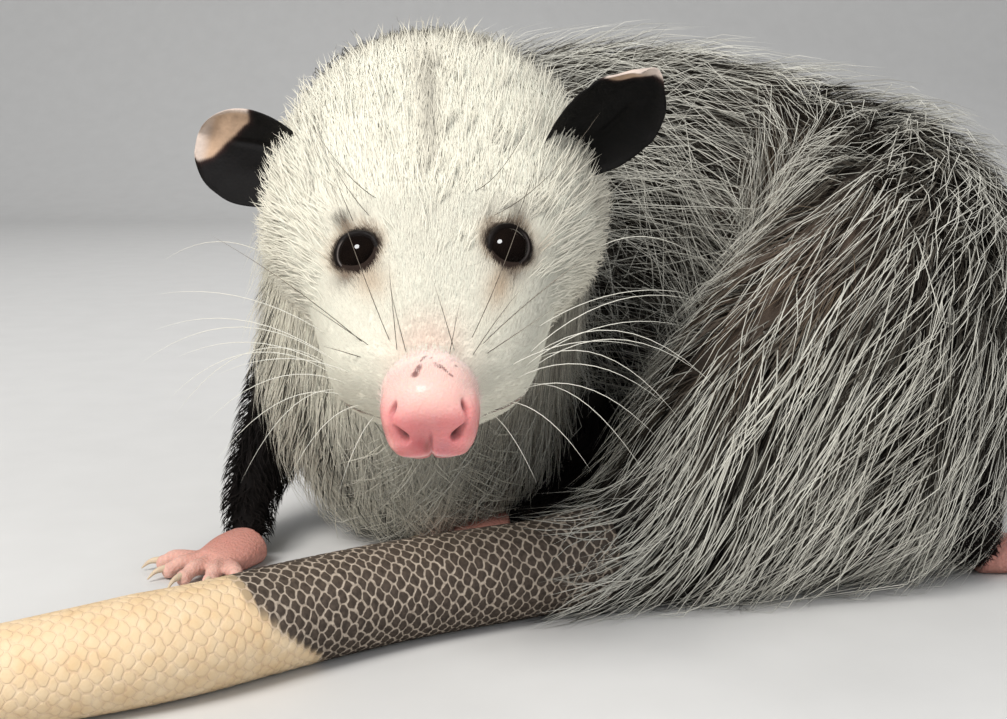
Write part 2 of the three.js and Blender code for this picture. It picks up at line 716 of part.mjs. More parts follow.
Object.entries(FEET).forEach(([name, foot]) => {
  addNode(opossum, name, largest(footSolid(foot).subtract(bodyClear)), COLOUR.toes, 0.55);
});
Object.entries(LEGS).forEach(([name, joints]) => {
  const foot = FEET[name.replace('leg', 'foot')];
  const clear = bodyClear.add(footSolid(foot, GAP));
  const leg = limbSolid(joints).intersect(ABOVE_FLOOR).subtract(clear);
  addNode(opossum, name, largest(leg), COLOUR.leg, 0.9);
});

// Tail lengths
const TAIL_CUTS = {
  tail_base: [0, 0.05, COLOUR.coat],
  tail_dark: [0.05, 0.325, COLOUR.tailDark],
  tail_pale: [0.325, 0.52, COLOUR.tailPale],
  tail_bend: [0.52, 0.76, COLOUR.tailPale],
  tail_tip: [0.76, 1, COLOUR.tailPale],
};
const tailHeading = bodyHeading(TAIL_ROOT);
const tailStart = behindPlane(bodyCentre(TAIL_ROOT).addScaledVector(tailHeading, GAP), tailHeading);
const fringe = coatSolid({ from: TAIL_ROOT - 0.45, to: TAIL_ROOT + 0.35, low: -75, high: 75, seed: 41 });
Object.entries(TAIL_CUTS).forEach(([name, [from, to, colour]]) => {
  let solid = tailSolid(from, to);
  if (from === 0) {
    const next = tailSolid(to, 0.4, GAP);
    solid = largest(solid.add(fringe.subtract(next)).intersect(tailStart).intersect(ABOVE_FLOOR));
  }
  addNode(opossum, name, solid, colour, 0.6);
});

// The origin under the middle of the model, on the floor
opossum.updateMatrixWorld(true);
const box = new THREE.Box3().setFromObject(opossum);
const middle = box.getCenter(vec(0, 0, 0));
opossum.position.set(-middle.x, -middle.y, -box.min.z);

export default opossum;
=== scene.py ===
import math

import bpy
import numpy as np
from mathutils import Euler, Matrix, Vector, noise


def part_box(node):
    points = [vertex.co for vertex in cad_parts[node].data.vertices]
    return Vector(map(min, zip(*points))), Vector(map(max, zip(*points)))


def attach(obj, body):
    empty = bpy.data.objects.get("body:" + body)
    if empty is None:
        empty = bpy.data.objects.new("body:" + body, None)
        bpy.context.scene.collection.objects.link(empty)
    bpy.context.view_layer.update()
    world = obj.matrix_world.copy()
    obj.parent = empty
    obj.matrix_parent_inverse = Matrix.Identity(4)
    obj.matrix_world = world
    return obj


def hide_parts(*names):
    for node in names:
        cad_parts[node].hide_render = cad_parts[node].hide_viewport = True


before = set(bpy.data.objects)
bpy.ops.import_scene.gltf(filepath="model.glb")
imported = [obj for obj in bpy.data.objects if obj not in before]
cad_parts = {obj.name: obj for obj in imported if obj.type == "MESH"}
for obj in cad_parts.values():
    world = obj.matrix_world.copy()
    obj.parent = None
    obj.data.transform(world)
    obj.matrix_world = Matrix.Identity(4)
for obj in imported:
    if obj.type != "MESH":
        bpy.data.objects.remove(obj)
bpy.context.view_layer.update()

bl_info = {
    "name": "Virginia opossum",
    "version": (1, 0, 0),
    "blender": (4, 5, 0),
    "location": "3D view > sidebar > Opossum",
    "description": "Dresses a life-size opossum with skin, coat, eyes, nose, ears, feet and tail",
    "category": "Object",
}

# Sizes of the animal, in millimetres: the eyes' line at HEAD_AT, the floor at height 0
MM = 0.001
PER_METRE = 1000
HEAD_AT = np.array([-18.8, 341.8, 109.0])
HEAD_TURN = np.array(
    Matrix.Rotation(math.radians(2.3), 3, "Z")
    @ Matrix.Rotation(math.radians(29.3), 3, "X")
    @ Matrix.Rotation(math.radians(-1.6), 3, "Y")
)
MUZZLE_END = 55.5
EYE_RADIUS = 6.7
SOLID_EYE = np.array([17.4, -10.4, 5.3])  # middle of the left eye in the solids
# Eyes: middles of the eyeballs, where their openings face, their inner corners, and degrees they open
EYE_AT = {"left": np.array([18.5, -10.5, 6.0]), "right": np.array([-17.6, -10.4, 5.5])}
EYE_FACING = {"left": np.array([0.37, -0.55, 0.76]), "right": np.array([-0.17, -0.6, 0.76])}
EYE_CORNER = np.array([-0.58, -0.44, -0.67])
OPENING = {
    "left": {"inner": 60, "outer": 53, "upper": 46, "lower": 42},
    "right": {"inner": 56, "outer": 39, "upper": 45, "lower": 46},
}
LID_REACH = 7.15  # from the middle of the eyeball to the skin of the lids
LID_PAINTED_SHINE = {"left": 0.25, "right": 0.75}  # how pale the painted highlight on the wet edge of the lower lid is
# Cross section of a lid, from its inner edge: degrees past the opening, reach from the eyeball's middle
LID_ROWS = np.array([
    [-1.5, 5.9], [-1.0, 6.72], [0.0, 6.98], [2.0, 7.3], [5.0, 7.52],
    [9.0, 7.5], [15.0, 7.3], [24.0, 6.8], [30.0, 5.9],
])
EYE_ZONE = 13  # from the middle of an eyeball, how far the head's surface is drawn over it
SUNKEN = 5.3  # how far from that middle the skin lies inside the lids
EYE_STRETCH = (-8.2, -3.2)  # stretch of the head that holds the eyes, as s of the trunk
SIDES = {"left": 1, "right": -1}
UP = np.array([0.0, 0.0, 1.0])
FAR_OFF = 99.0  # stands for a point with nothing near it
NOSE_REACH = 13.0  # past the muzzle's end
NOSE_HALF = 11.3  # half its width
# Slit beside the nose that runs down into the nostril: aside, up, depth, half width
NOSTRIL = np.array([
    [7.7, 4.3, 0.3, 0.3], [8.1, 3.0, 1.5, 0.4], [8.5, 1.4, 0.5, 0.45], [8.2, -0.4, 0.35, 0.5],
    [7.3, -1.6, 1.6, 0.55], [6.5, -2.8, 3.0, 0.75], [5.9, -3.9, 3.2, 0.85], [5.3, -5.0, 1.0, 0.6],
])
# Brown spots over the nose: aside, ahead of the muzzle's end, half width, half length, lean
NOSE_SPOTS = (
    (-2.4, 3.9, 0.75, 1.5, 0.35), (-3.0, 5.2, 0.9, 0.8, 0.0), (-1.0, 0.4, 0.35, 0.5, 0.6),
    (-1.6, 1.2, 0.3, 0.5, 0.8), (1.7, 2.6, 0.4, 0.7, -0.4), (3.2, 3.4, 0.4, 0.9, -0.7),
    (3.9, 4.2, 0.4, 0.5, -0.7), (5.0, 5.1, 0.5, 0.4, -0.9), (2.4, 3.4, 0.3, 0.3, 0.0),
    (0.6, 0.6, 0.25, 0.25, 0.0), (6.2, 2.0, 0.3, 0.3, 0.0),
)
# Line of the mouth: ahead and up at its front and at its corner
MOUTH = ((61.5, -10.5), (16.0, -18.0))
# Ears: root, way up and way the cup faces, in the head's millimetres
EARS = {
    "left": ((34, 36, 8), (0.71, -0.12, 0.69), (0, -1, -0.17)),
    "right": ((-31, 35.5, 2), (-0.94, 0.29, 0.15), (-0.19, -0.86, 0.47)),
}
EAR_LENGTH, EAR_WIDTH, EAR_CUP, EAR_THICK, EAR_WIDEST = 38.5, 26.5, 8, 1.3, 0.58
# Where the pale tip of each ear starts, as a share of its length, across its width
EAR_TIP_START = {
    "left": lambda v: 0.955 + np.where(v < 0, 0.3 * np.maximum(v, -0.52), 0.08 * v),
    "right": lambda v: 0.785 - 0.24 * np.minimum(v, 0.7),
}

# Head, nose first: top ahead, top up, bottom ahead, bottom up, half width
HEAD_ROWS = np.array([
    [58.5, 6.6, 57, -12.2, 9.6],
    [55.5, 8.8, 52.5, -16.5, 14.2],
    [46, 10.2, 43, -24, 23.5],
    [31, 10.8, 28, -26.5, 28],
    [15, 12, 12, -28, 32],
    [0, 15, -3, -32, 38.5],
    [-14, 19, -11, -37.5, 43.5],
    [-28, 24, -16, -42, 45.5],
    [-41, 28, -20, -46, 46],
    [-56, 29, -23, -50, 44.5],
    [-71, 26, -26, -52.4, 42],
])
HEAD_LAST = len(HEAD_ROWS) - 1
HEAD_WIDEST, HEAD_SQUARE = 0.5, 2.15  # height of its widest line, and how square its section is

# Body, neck first: x, y, top, bottom, half width outside the bend, half width inside it
BODY_ROWS = np.array([
    [-21, 391, 165, 74, 42, 42],
    [-23, 399, 164, 46, 43, 43],
    [-26, 414, 162, 20, 47, 45],
    [-26, 438, 162, 0, 51, 47],
    [-14, 470, 164, -3, 53, 48],
    [16, 497, 169, -3, 53, 48],
    [50, 505, 171, -3, 53, 48],
    [80, 505, 167, -3, 53, 46],
    [115.4, 490.4, 157, -3, 53, 44],
    [130, 455, 146, -3, 53, 43],
    [115.4, 419.6, 132, -3, 51, 43],
    [100, 409, 118, -3, 47, 41],
    [75, 397, 94, -3, 38, 35],
    [50, 384.5, 62, -2, 27, 26],
    [28, 374, 30, -1, 15, 15],
    [-8, 356.6, 28, -1, 14, 14],
])
BODY_WIDEST, BODY_SQUARE = 0.42, 2.2  # the same for the body
TAIL_ROOT = len(BODY_ROWS) - 2
NECK_BLEND = 1.43  # rows over which the head's back turns into the neck

SKIN_DETAIL = 1.7  # size of one step of the fused skin
# Depth of the bare skin under the outline along the trunk: s, depth
SKIN_DEPTHS = (
    (-10, 0.3), (-9, 0.35), (-7, 0.45), (-5, 0.5), (-3, 0.8), (0, 4.2),
    (2, 7.0), (5, 7.5), (12, 7.0), (13.4, 4.0), (14, 1.4), (15, 1.4),
)

# Legs, from the body to the wrist or heel: x, y, z, half width, half height
LEGS = {
    "foreleg_left": [
        [22, 446, 48, 15, 17], [26, 442, 24, 12, 14], [14, 434, 13, 9, 10], [2.5, 428, 8, 7.5, 7],
    ],
    "foreleg_right": [
        [-58, 446, 78, 17, 22], [-76, 448, 44, 14, 16], [-86, 434, 20, 10, 11], [-84.3, 412.5, 8, 7.5, 7],
    ],
    "hindleg_left": [
        [70, 420, 56, 14, 18], [73, 430, 30, 13, 17], [74, 437, 14, 10, 10], [66.4, 440, 8, 7.5, 7],
    ],
    "hindleg_right": [
        [118, 402, 62, 20, 26], [134, 392, 32, 17, 20], [146, 398, 15, 12, 12], [151.6, 403.8, 8, 8, 7],
    ],
}
FORE_TOES = [(spread, 13 - abs(spread) * 0.045, 0.95, True) for spread in (-56, -27, 0, 27, 56)]
HIND_TOES = [(spread, 15 - abs(spread) * 0.071, 0.95, True) for spread in (-30, -12, 6, 26)]
# Feet: wrist, heading in degrees, palm length, width, toes (spread, length, place on the palm, clawed)
FEET = {
    "forefoot_left": ((2, 428), 186, 18, 17, FORE_TOES),
    "forefoot_right": ((-84, 412), 238, 18, 17, FORE_TOES),
    "hindfoot_left": ((66, 440), 200, 26, 17, [*HIND_TOES, (-78, 12, 0.5, False)]),
    "hindfoot_right": ((152, 404), 4, 30, 18, [*HIND_TOES, (78, 13, 0.5, False)]),
}
# Sections of toes and claws: share of the toe's length, how far past that, height, radius
TOE_ROWS = (
    (0, -4, 3.4, 2.9), (0.55, 0, 4.4, 2.7), (0.8, 0, 3.4, 2.2), (1, 0, 2.6, 2.6), (1, 1.5, 2.4, 1.6),
)
CLAW_ROWS = ((1, -2, 3.4, 1.4), (1, 1.5, 3.6, 1.1), (1, 4, 3.0, 0.7), (1, 6.4, 1.0, 0.2))
# Sections of a palm: share of its length, half width as a share of its width, half height
PALM_ROWS = ((0, 0.5, 6.5), (0.45, 0.56, 6), (1, 0.46, 4.4))

# Tail, laid along the floor: middle line and girth
TAIL_PATH = np.array([
    [28, 374], [10.7, 365.8], [-28.9, 346.3], [-54.2, 329.5], [-81.2, 309.2], [-107, 296],
    [-136, 286], [-166, 283], [-194, 290], [-216, 306], [-230, 329], [-237, 354],
])
TAIL_RADIUS = 13.7
SCALE_LENGTH = 2.3  # one ring of scales along the tail
SCALES_ROUND = 21  # scales in a ring
SCALE_STRETCH = 1.45  # how much longer a scale is round the tail than along it
# Where the tail turns pale: angle from its top, share of its length
TAIL_BORDER = (
    (-3.1416, 0.275), (-2.3, 0.3), (-1.5, 0.335), (0, 0.345), (0.73, 0.345),
    (1.05, 0.339), (1.43, 0.328), (1.78, 0.31), (2.2, 0.288), (3.1416, 0.275),
)
# Stretches of the face's coat: first and last s, share of the strands, places along a strand
FACE_SPANS = (
    (-9.7, -8.9, 0.05, [0, 1]),
    (-8.9, -6.9, 0.25, [0, 1]),
    (-6.9, -4.9, 0.37, [0, 1]),
    (-4.9, -2.4, 0.19, [0, 0.5, 1]),
    (-2.4, 0.4, 0.14, [0, 0.5, 1]),
)
# Stretches of the body's coat: first and last s, seed
COAT_SPANS = {
    "neck": (-0.4, 2.6, 11),
    "shoulder": (2.6, 5.0, 12),
    "back": (5.0, 7.2, 13),
    "flank": (7.2, 9.3, 14),
    "rump": (9.3, 13.9, 15),
}
# Hairs over the underfur: share of the count, length, width, how proud, how wavy, places along a hair
HAIR_LAYERS = {
    "grey": (0.5, 0.7, 0.26, 4.0, 1.8, [0, 0.5, 1]),
    "white": (0.5, 1.0, 0.36, 7.5, 3.4, [0, 0.33, 0.68, 1]),
}
# Whiskers of one side: root s and angle, then reach to the side, up and ahead, sag, darkness
WHISKERS = {
    "right": (
        (-8.0, 0.72, -35, 28, 3, 2, 1), (-8.16, 0.66, -16, 12, 2, 0, 1), (-8.3, 0.87, -10, 4, 3, 0, 1),
        (-8.28, 0.42, -12.5, 38, 4, -2, 1), (-8.6, 0.42, -1.4, 23, 3, 0, 1),
        (-8.74, 0.3, -4, 17, 3, 0, 1),
        (-4.8, 0.3, -19.5, 22, 5, -5, 1), (-5.18, 0.39, -12.8, 19, 4, -2, 1),
        (-5.18, 0.54, -5, 13.3, 4, 0, 1),
        (-8.3, 1.25, -30, 4, 10, 5, 0), (-8.0, 1.4, -38, 8, 8, 8, 0), (-8.3, 1.5, -33, -4, 9, 9, 0),
        (-7.8, 1.3, -42, 12, 5, 9, 0), (-7.7, 1.6, -40, 0, 6, 12, 0), (-8.1, 1.8, -30, -10, 8, 9, 0),
        (-7.5, 1.45, -45, 5, 3, 12, 0), (-7.3, 1.7, -38, -6, 4, 14, 0), (-8.5, 1.9, -18, -14, 8, 6, 0),
        (-7.1, 1.3, -40, 14, 2, 6, 0), (-8.6, 2.2, -9, -16, 7, 4, 0), (-4.3, 1.6, -32, 6, 4, 8, 0),
        (-7.6, 2.0, -26, -18, 5, 10, 0),
    ),
    "left": (
        (-8.2, -0.45, 15.6, 36.8, 4, -3, 1), (-8.5, -0.74, 17, 11, 3, 0, 1),
        (-8.7, -0.62, 12.6, 17.2, 3, 1, 1),
        (-8.74, -0.39, -4.7, 19, 3, 0, 1), (-8.3, -0.6, 30, 24, 3, 2, 1), (-8.9, -0.3, 3, 14, 3, 0, 1),
        (-4.68, -0.24, 17.7, 21, 5, -7, 1), (-5.2, -0.41, 28.7, 23.6, 4, -5, 1),
        (-5.06, -0.62, 5.9, 14, 4, 0, 1),
        (-8.3, -1.2, 30, 6, 10, 5, 0), (-8.0, -1.4, 36, 12, 8, 7, 0), (-8.3, -1.5, 34, -2, 9, 9, 0),
        (-7.8, -1.3, 40, 16, 5, 9, 0), (-7.7, -1.6, 42, 2, 6, 12, 0), (-8.1, -1.8, 32, -8, 8, 9, 0),
        (-7.5, -1.5, 44, -3, 3, 14, 0), (-7.3, -1.7, 36, -12, 4, 12, 0), (-8.5, -1.9, 20, -14, 8, 6, 0),
        (-7.1, -1.3, 38, 10, 2, 6, 0), (-8.6, -2.2, 10, -16, 7, 4, 0), (-4.3, -1.6, 30, 2, 4, 8, 0),
        (-7.6, -2.0, 28, -18, 5, 10, 0),
    ),
}
# Up and towards the viewer, in the head's own axes
VIEW_UP = np.array([0, 0.545, 0.83])
VIEW_NEAR = np.array([0.05, -0.83, 0.545])

# Coat: each table runs along the trunk, s first
ALL_ROUND = (-math.pi, math.pi)
OVER_FLOOR = 0.35  # lowest a strand lies
BAKE_PATCH = 0.003  # a tuft's share of the coat's map
HAIR_TAPER = ((0, 0.75), (0.25, 1.0), (0.65, 0.72), (1, 0.1))
FACE_HAIR_LENGTH = ((-9.6, 1.0), (-9, 2.0), (-7.5, 3.2), (-5, 5.5), (-3, 8.5), (-1, 14), (0.4, 22))
FACE_HAIR_RISE = ((-9, 0.1), (-7, 0.1), (-4, 0.2), (-1, 2.2), (0.4, 5.0))
FACE_HAIR_LOOSE = ((-8, 0.15), (-4, 0.3), (-2, 0.9), (0, 3.0))
FACE_HAIR_WIDTH = ((-9, 0.2), (-6, 0.28), (-3, 0.36), (0.4, 0.42))
FRINGE_SPAN = (-6.4, 0.9)
FRINGE_LENGTH = ((-6.4, 6), (-5, 10), (-3, 16), (-1, 21), (0.9, 26))
FRINGE_RISE = ((-6.4, 1.8), (-4, 4.4), (-2, 6.0), (0.9, 8.0))
COAT_LENGTH_SHARES = ((-0.5, 0.62), (2, 0.85), (5, 1.0), (11, 0.95), (13, 0.75), (14, 0.45))
UNDERFUR_WIDTH = 0.95
NOSE_HAIRS = 2600
LEG_STRANDS = 2200
LEG_SPAN = (0.2, 2.95)
LEG_HAIR_LENGTH = ((0, 14), (2, 9), (3, 5))

# Camera of the photograph, in the same millimetres
CAMERA_HEIGHT = 140.0
CAMERA_DIP = 10.0  # degrees
FOCAL_PIXELS = 1300.0
PHOTO_WIDTH = 1007.0
SENSOR = 36.0

# Lights, in metres and watts: name, place, size, power, colour, whether eyes and nose mirror it
LIGHT_AIM = (0.0, -0.02, 0.08)
LIGHTS = (
    ("key", (-0.85, -1.0, 1.25), 0.7, 20, (1.0, 0.98, 0.95), False),
    ("fill", (1.3, -0.8, 0.7), 1.4, 6, (0.95, 0.97, 1.0), False),
    ("rim", (0.4, 1.2, 1.3), 1.0, 9, (1, 1, 1), False),
    ("catch", (-0.3, -0.8, 1.05), 0.4, 4.5, (1, 1, 1), True),
)


def unit(vectors):
    return vectors / np.maximum(np.linalg.norm(vectors, axis=-1, keepdims=True), 1e-9)


def full_turn(count):
    """Angles spread evenly round a full turn."""
    return np.arange(count) * 2 * math.pi / count


def head_to_world(points):
    return points @ HEAD_TURN.T + HEAD_AT


def world_to_head(points):
    return (points - HEAD_AT) @ HEAD_TURN


def eye_axes(name):
    facing = unit(EYE_FACING[name])
    corner = EYE_CORNER * np.array([SIDES[name], 1, 1])
    corner = unit(corner - facing * (corner @ facing))
    return EYE_AT[name], facing, corner, -SIDES[name] * np.cross(facing, corner)


def frame_shift():
    """Where the model's own frame puts this script's zero: the left eye is known in both."""
    low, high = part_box("eye_left")
    return np.array((low + high) / 2) - head_to_world(SOLID_EYE) * MM


SHIFT = frame_shift()
SHIFT[2] = 0.0


def to_frame(points):
    return points * MM + SHIFT


# Surfaces of the animal


def smooth_rows(rows, position):
    """Rows of numbers read as one smooth curve: position 0 is the first row, 1 the second."""
    last = len(rows) - 1
    at = np.clip(position, 0, last)
    index = np.minimum(at.astype(int), last - 1)
    part = (at - index)[..., None]
    before, start = rows[np.maximum(index - 1, 0)], rows[index]
    stop, after = rows[index + 1], rows[np.minimum(index + 2, last)]
    leave, arrive = (stop - before) / 2, (after - start) / 2
    bend = 3 * (stop - start) - 2 * leave - arrive
    ease = 2 * (start - stop) + leave + arrive
    return start + part * (leave + part * (bend + part * ease))


def profile(table, position):
    """Value at a position, read from a table of places and values."""
    places, values = np.array(table).T
    return np.interp(position, places, values)


def spread_out(*values):
    return np.broadcast_arrays(*[np.asarray(value, float) for value in values])


def section(top, low, across, angle, widest, square):
    """A point of a rounded section between its top and low points, angle 0 at the top."""
    power = 2 / square
    up, aside = np.cos(angle), np.sin(angle)
    lift = np.sign(up) * np.abs(up) ** power
    spread = np.sign(aside) * np.abs(aside) ** power
    height = widest + lift * np.where(lift > 0, 1 - widest, widest)
    return low + (top - low) * height[..., None] + across * spread[..., None]


def head_surface(position, angle, lift):
    """A point of the head, in the animal's millimetres. Positive angles are the animal's left."""
    row = smooth_rows(HEAD_ROWS, position)
    zero = np.zeros(row.shape[:-1])
    top = np.stack([zero, -row[..., 0], row[..., 1]], -1)
    low = np.stack([zero, -row[..., 2], row[..., 3]], -1)
    rise = unit(top - low)
    top = top + rise * lift[..., None]
    low = low - rise * lift[..., None]
    across = np.stack([row[..., 4] + lift, zero, zero], -1)
    return head_to_world(section(top, low, across, angle, HEAD_WIDEST, HEAD_SQUARE))


def body_surface(position, angle, lift):
    """A point of neck or torso, in the animal's millimetres."""
    row = smooth_rows(BODY_ROWS, position)
    step = 0.02
    heading = smooth_rows(BODY_ROWS, position + step) - smooth_rows(BODY_ROWS, position - step)
    heading = unit(heading[..., :2])
    half = np.where(np.sin(angle) > 0, row[..., 4], row[..., 5]) + lift
    zero = np.zeros(half.shape)
    across = np.stack([-heading[..., 1] * half, heading[..., 0] * half, zero], -1)
    top = np.stack([row[..., 0], row[..., 1], row[..., 2] + lift], -1)
    low = np.stack([row[..., 0], row[..., 1], row[..., 3] - lift], -1)
    return section(top, low, across, angle, BODY_WIDEST, BODY_SQUARE)


def opening_reach(name, cosine, sine):
    """How far an opening's edge lies from the eye's axis: cosine 1 at the inner corner, sine 1 above."""
    wide = np.where(cosine > 0, OPENING[name]["inner"], OPENING[name]["outer"])
    high = np.where(sine > 0, OPENING[name]["upper"], OPENING[name]["lower"])
    power = 1.8
    angle = ((np.abs(cosine) / wide) ** power + (np.abs(sine) / high) ** power) ** (-1 / power)
    return np.sin(np.radians(angle))


def past_lids(local):
    """Distance of points of the head from the edge of the nearer eye's opening, negative inside it."""
    gap = np.full(local.shape[:-1], FAR_OFF)
    for name in SIDES:
        centre, facing, corner, above = eye_axes(name)
        away = local - centre
        height = away @ facing
        across, rise = away @ corner, away @ above
        reach = np.hypot(across, rise)
        safe = np.maximum(reach, 1e-6)
        edge = LID_REACH * opening_reach(name, across / safe, rise / safe)
        here = np.where((height > 0) & (height < 12), reach - edge, FAR_OFF)
        gap = np.minimum(gap, here)
    return gap


def close_round_eyes(local, spare):
    """Draws the head's surface over the eyeballs and opens it at the lids, spare over the bare skin."""
    for name in SIDES:
        centre = EYE_AT[name]
        away = local - centre
        reach = np.linalg.norm(away, axis=-1)
        near = reach < EYE_ZONE
        if not near.any():
            continue
        part, distance = away[near], reach[near]
        wanted = LID_REACH + 0.7 * np.clip(spare[near], -0.5, 4)
        ease = 0.8
        grown = wanted + ease * np.log1p(np.exp((distance - wanted) / ease))
        moved = part * (grown / np.maximum(distance, 1e-6))[:, None]
        inside = soft_step(-past_lids(moved + centre), -0.35, 0.45) * (grown < 11)
        grown = grown * (1 - inside) + SUNKEN * inside
        local[near] = centre + part * (grown / np.maximum(distance, 1e-6))[:, None]
    return local


def trunk(s, angle, lift):
    """Head, neck and torso as one surface: s is -10 in the nose, 0 at the nape and 14 at the tail."""
    s, angle, lift = spread_out(s, angle, lift)
    share = np.clip(1 - s / NECK_BLEND, 0, 1)
    share = (share * share * (3 - 2 * share))[..., None]
    ahead = head_surface(np.minimum(s + HEAD_LAST, HEAD_LAST), -angle, lift)
    eyes = (s > EYE_STRETCH[0]) & (s < EYE_STRETCH[1])
    if eyes.any():
        spare = lift[eyes] + skin_depth(s[eyes], angle[eyes])
        ahead[eyes] = head_to_world(close_round_eyes(world_to_head(ahead[eyes]), spare))
    behind = body_surface(np.maximum(s, 0), angle, lift)
    return ahead * share + behind * (1 - share)


def limb_surface(joints):
    """Surface along a leg or toe, given by rows of x, y, z, half width and half height."""
    rows = np.array(joints, float)

    def place(t, angle, lift):
        t, angle, lift = spread_out(t, angle, lift)
        row = smooth_rows(rows, t)
        heading = unit(smooth_rows(rows, t + 0.05)[..., :3] - smooth_rows(rows, t - 0.05)[..., :3])
        across = unit(np.cross(UP, heading))
        rise = np.cross(heading, across)
        wide = ((row[..., 3] + lift) * np.sin(angle))[..., None]
        high = ((row[..., 4] + lift) * np.cos(angle))[..., None]
        return row[..., :3] + across * wide + rise * high

    return place


def skin_depth(s, angle):
    """How far the bare skin lies under the outline of the short coat."""
    cheek = np.clip((np.abs(angle) - 0.9) / 0.9, 0, 1) * np.clip((s + 6) / 2, 0, 1) * np.clip(1 - s, 0, 1)
    return profile(SKIN_DEPTHS, s) + 2.0 * cheek


# Meshes


def make_mesh(name, points, faces, smooth=True):
    """points (N, 3) in the frame's metres, faces an (M, 3) or (M, 4) array or a list of them."""
    faces = faces if isinstance(faces, list) else [faces]
    mesh = bpy.data.meshes.new(name)
    mesh.vertices.add(len(points))
    mesh.vertices.foreach_set("co", np.asarray(points, np.float32).ravel())
    loops = np.concatenate([f.ravel() for f in faces]).astype(np.int32)
    sizes = np.concatenate([np.full(len(f), f.shape[1]) for f in faces])
    mesh.loops.add(len(loops))
    mesh.loops.foreach_set("vertex_index", loops)
    mesh.polygons.add(len(sizes))
    starts = np.concatenate([[0], np.cumsum(sizes)[:-1]]).astype(np.int32)
    mesh.polygons.foreach_set("loop_start", starts)
    mesh.update(calc_edges=True)
    mesh.validate()
    mesh.polygons.foreach_set("use_smooth", np.full(len(mesh.polygons), smooth))
    return mesh


def add_object(name, mesh, material, slot, *nodes):
    """Adds a piece with its material, in place of the nodes named. Its slot is not used."""
    piece = bpy.data.objects.new(name, mesh)
    bpy.context.scene.collection.objects.link(piece)
    mesh.materials.clear()
    mesh.materials.append(material)
    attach(piece, "root")
    if nodes:
        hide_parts(*nodes)
    return piece


def grid_faces(rows, columns, closed=True):
    """Quads over rows of points, each row a ring where closed."""
    wide = columns if closed else columns - 1
    r, c = np.meshgrid(np.arange(rows - 1), np.arange(wide), indexing="ij")
    a = r * columns + c
    b = r * columns + (c + 1) % columns
    return np.stack([a, b, b + columns, a + columns], -1).reshape(-1, 4)


def facing_out(points, faces):
    """The faces of a closed body, turned so that they all point out."""
    volume = 0.0
    for f in faces:
        a, b, c = points[f[:, 0]], points[f[:, 1]], points[f[:, 2]]
        volume += np.einsum("ij,ij->i", a, np.cross(b, c)).sum()
        if f.shape[1] == 4:
            d = points[f[:, 3]]
            volume += np.einsum("ij,ij->i", a, np.cross(c, d)).sum()
    return [f[:, ::-1] for f in faces] if volume < 0 else faces


def capped(rings):
    """Points and faces of a closed body over rings (R, C, 3), each end a fan to its middle."""
    rows, columns = rings.shape[:2]
    points = np.concatenate([rings.reshape(-1, 3), rings[0].mean(0)[None], rings[-1].mean(0)[None]])
    k = np.arange(columns)
    nxt = (k + 1) % columns
    first = np.stack([np.full(columns, rows * columns), nxt, k], -1)
    base = (rows - 1) * columns
    last = np.stack([np.full(columns, rows * columns + 1), base + k, base + nxt], -1)
    return points, facing_out(points, [grid_faces(rows, columns), first, last])


def swept(surface, first, last, rows, columns, lift):
    """Closed body over the stretch first to last of a surface, with lift a number or a function."""
    t, angle = np.meshgrid(np.linspace(first, last, rows), full_turn(columns) - math.pi, indexing="ij")
    depth = lift(t, angle) if callable(lift) else np.full(t.shape, float(lift))
    return capped(surface(t, angle, depth))


def ball(centre, radii, columns, rows):
    """Closed ball of quads with a small flat at each pole."""
    tip = 0.02
    v, u = np.meshgrid(np.linspace(tip, math.pi - tip, rows), full_turn(columns), indexing="ij")
    shape = np.stack([np.sin(v) * np.cos(u), np.sin(v) * np.sin(u), np.cos(v)], -1)
    return capped(shape * np.asarray(radii) + np.asarray(centre))


def joined(parts):
    """Points and faces of several bodies as those of one mesh."""
    points, faces, offset = [], [], 0
    for part_points, part_faces in parts:
        points.append(part_points)
        faces += [f + offset for f in part_faces]
        offset += len(part_points)
    return np.concatenate(points), faces


def fused(name, parts, voxel, smoothing):
    """One closed skin over overlapping closed bodies, given in millimetres."""
    points, faces = joined(parts)
    mesh = make_mesh(name, to_frame(points), faces)
    piece = bpy.data.objects.new(name + "_rough", mesh)
    bpy.context.scene.collection.objects.link(piece)
    remesh = piece.modifiers.new("skin", "REMESH")
    remesh.mode = "VOXEL"
    remesh.voxel_size = voxel * MM
    remesh.adaptivity = 0.0
    soften = piece.modifiers.new("soften", "SMOOTH")
    soften.factor = 0.5
    soften.iterations = smoothing
    graph = bpy.context.evaluated_depsgraph_get()
    graph.update()
    made = bpy.data.meshes.new_from_object(piece.evaluated_get(graph))
    bpy.data.objects.remove(piece)
    made.polygons.foreach_set("use_smooth", np.full(len(made.polygons), True))
    return made


def vertices_of(mesh):
    points = np.zeros(len(mesh.vertices) * 3, np.float32)
    mesh.vertices.foreach_get("co", points)
    return (points.reshape(-1, 3) - SHIFT) / MM


def paint(mesh, colours, name="tint"):
    layer = mesh.attributes.new(name, "FLOAT_COLOR", "POINT")
    values = np.concatenate([colours, np.ones((len(colours), 1))], 1)
    layer.data.foreach_set("color", values.astype(np.float32).ravel())


def read_numbers(items, name):
    """A whole number of each corner or face of a mesh."""
    values = np.zeros(len(items), np.int32)
    items.foreach_get(name, values)
    return values


def add_map(mesh, name, places):
    """Adds a UV map with a place for each corner."""
    layer = mesh.uv_layers.new(name=name)
    layer.data.foreach_set("uv", places.astype(np.float32).ravel())


def weigh(mesh, values, name):
    layer = mesh.attributes.new(name, "FLOAT", "POINT")
    layer.data.foreach_set("value", np.asarray(values, np.float32))


# Colours and markings


def linear(red, green, blue):
    value = np.array([red, green, blue]) / 255
    return np.where(value <= 0.04045, value / 12.92, ((value + 0.055) / 1.055) ** 2.4)


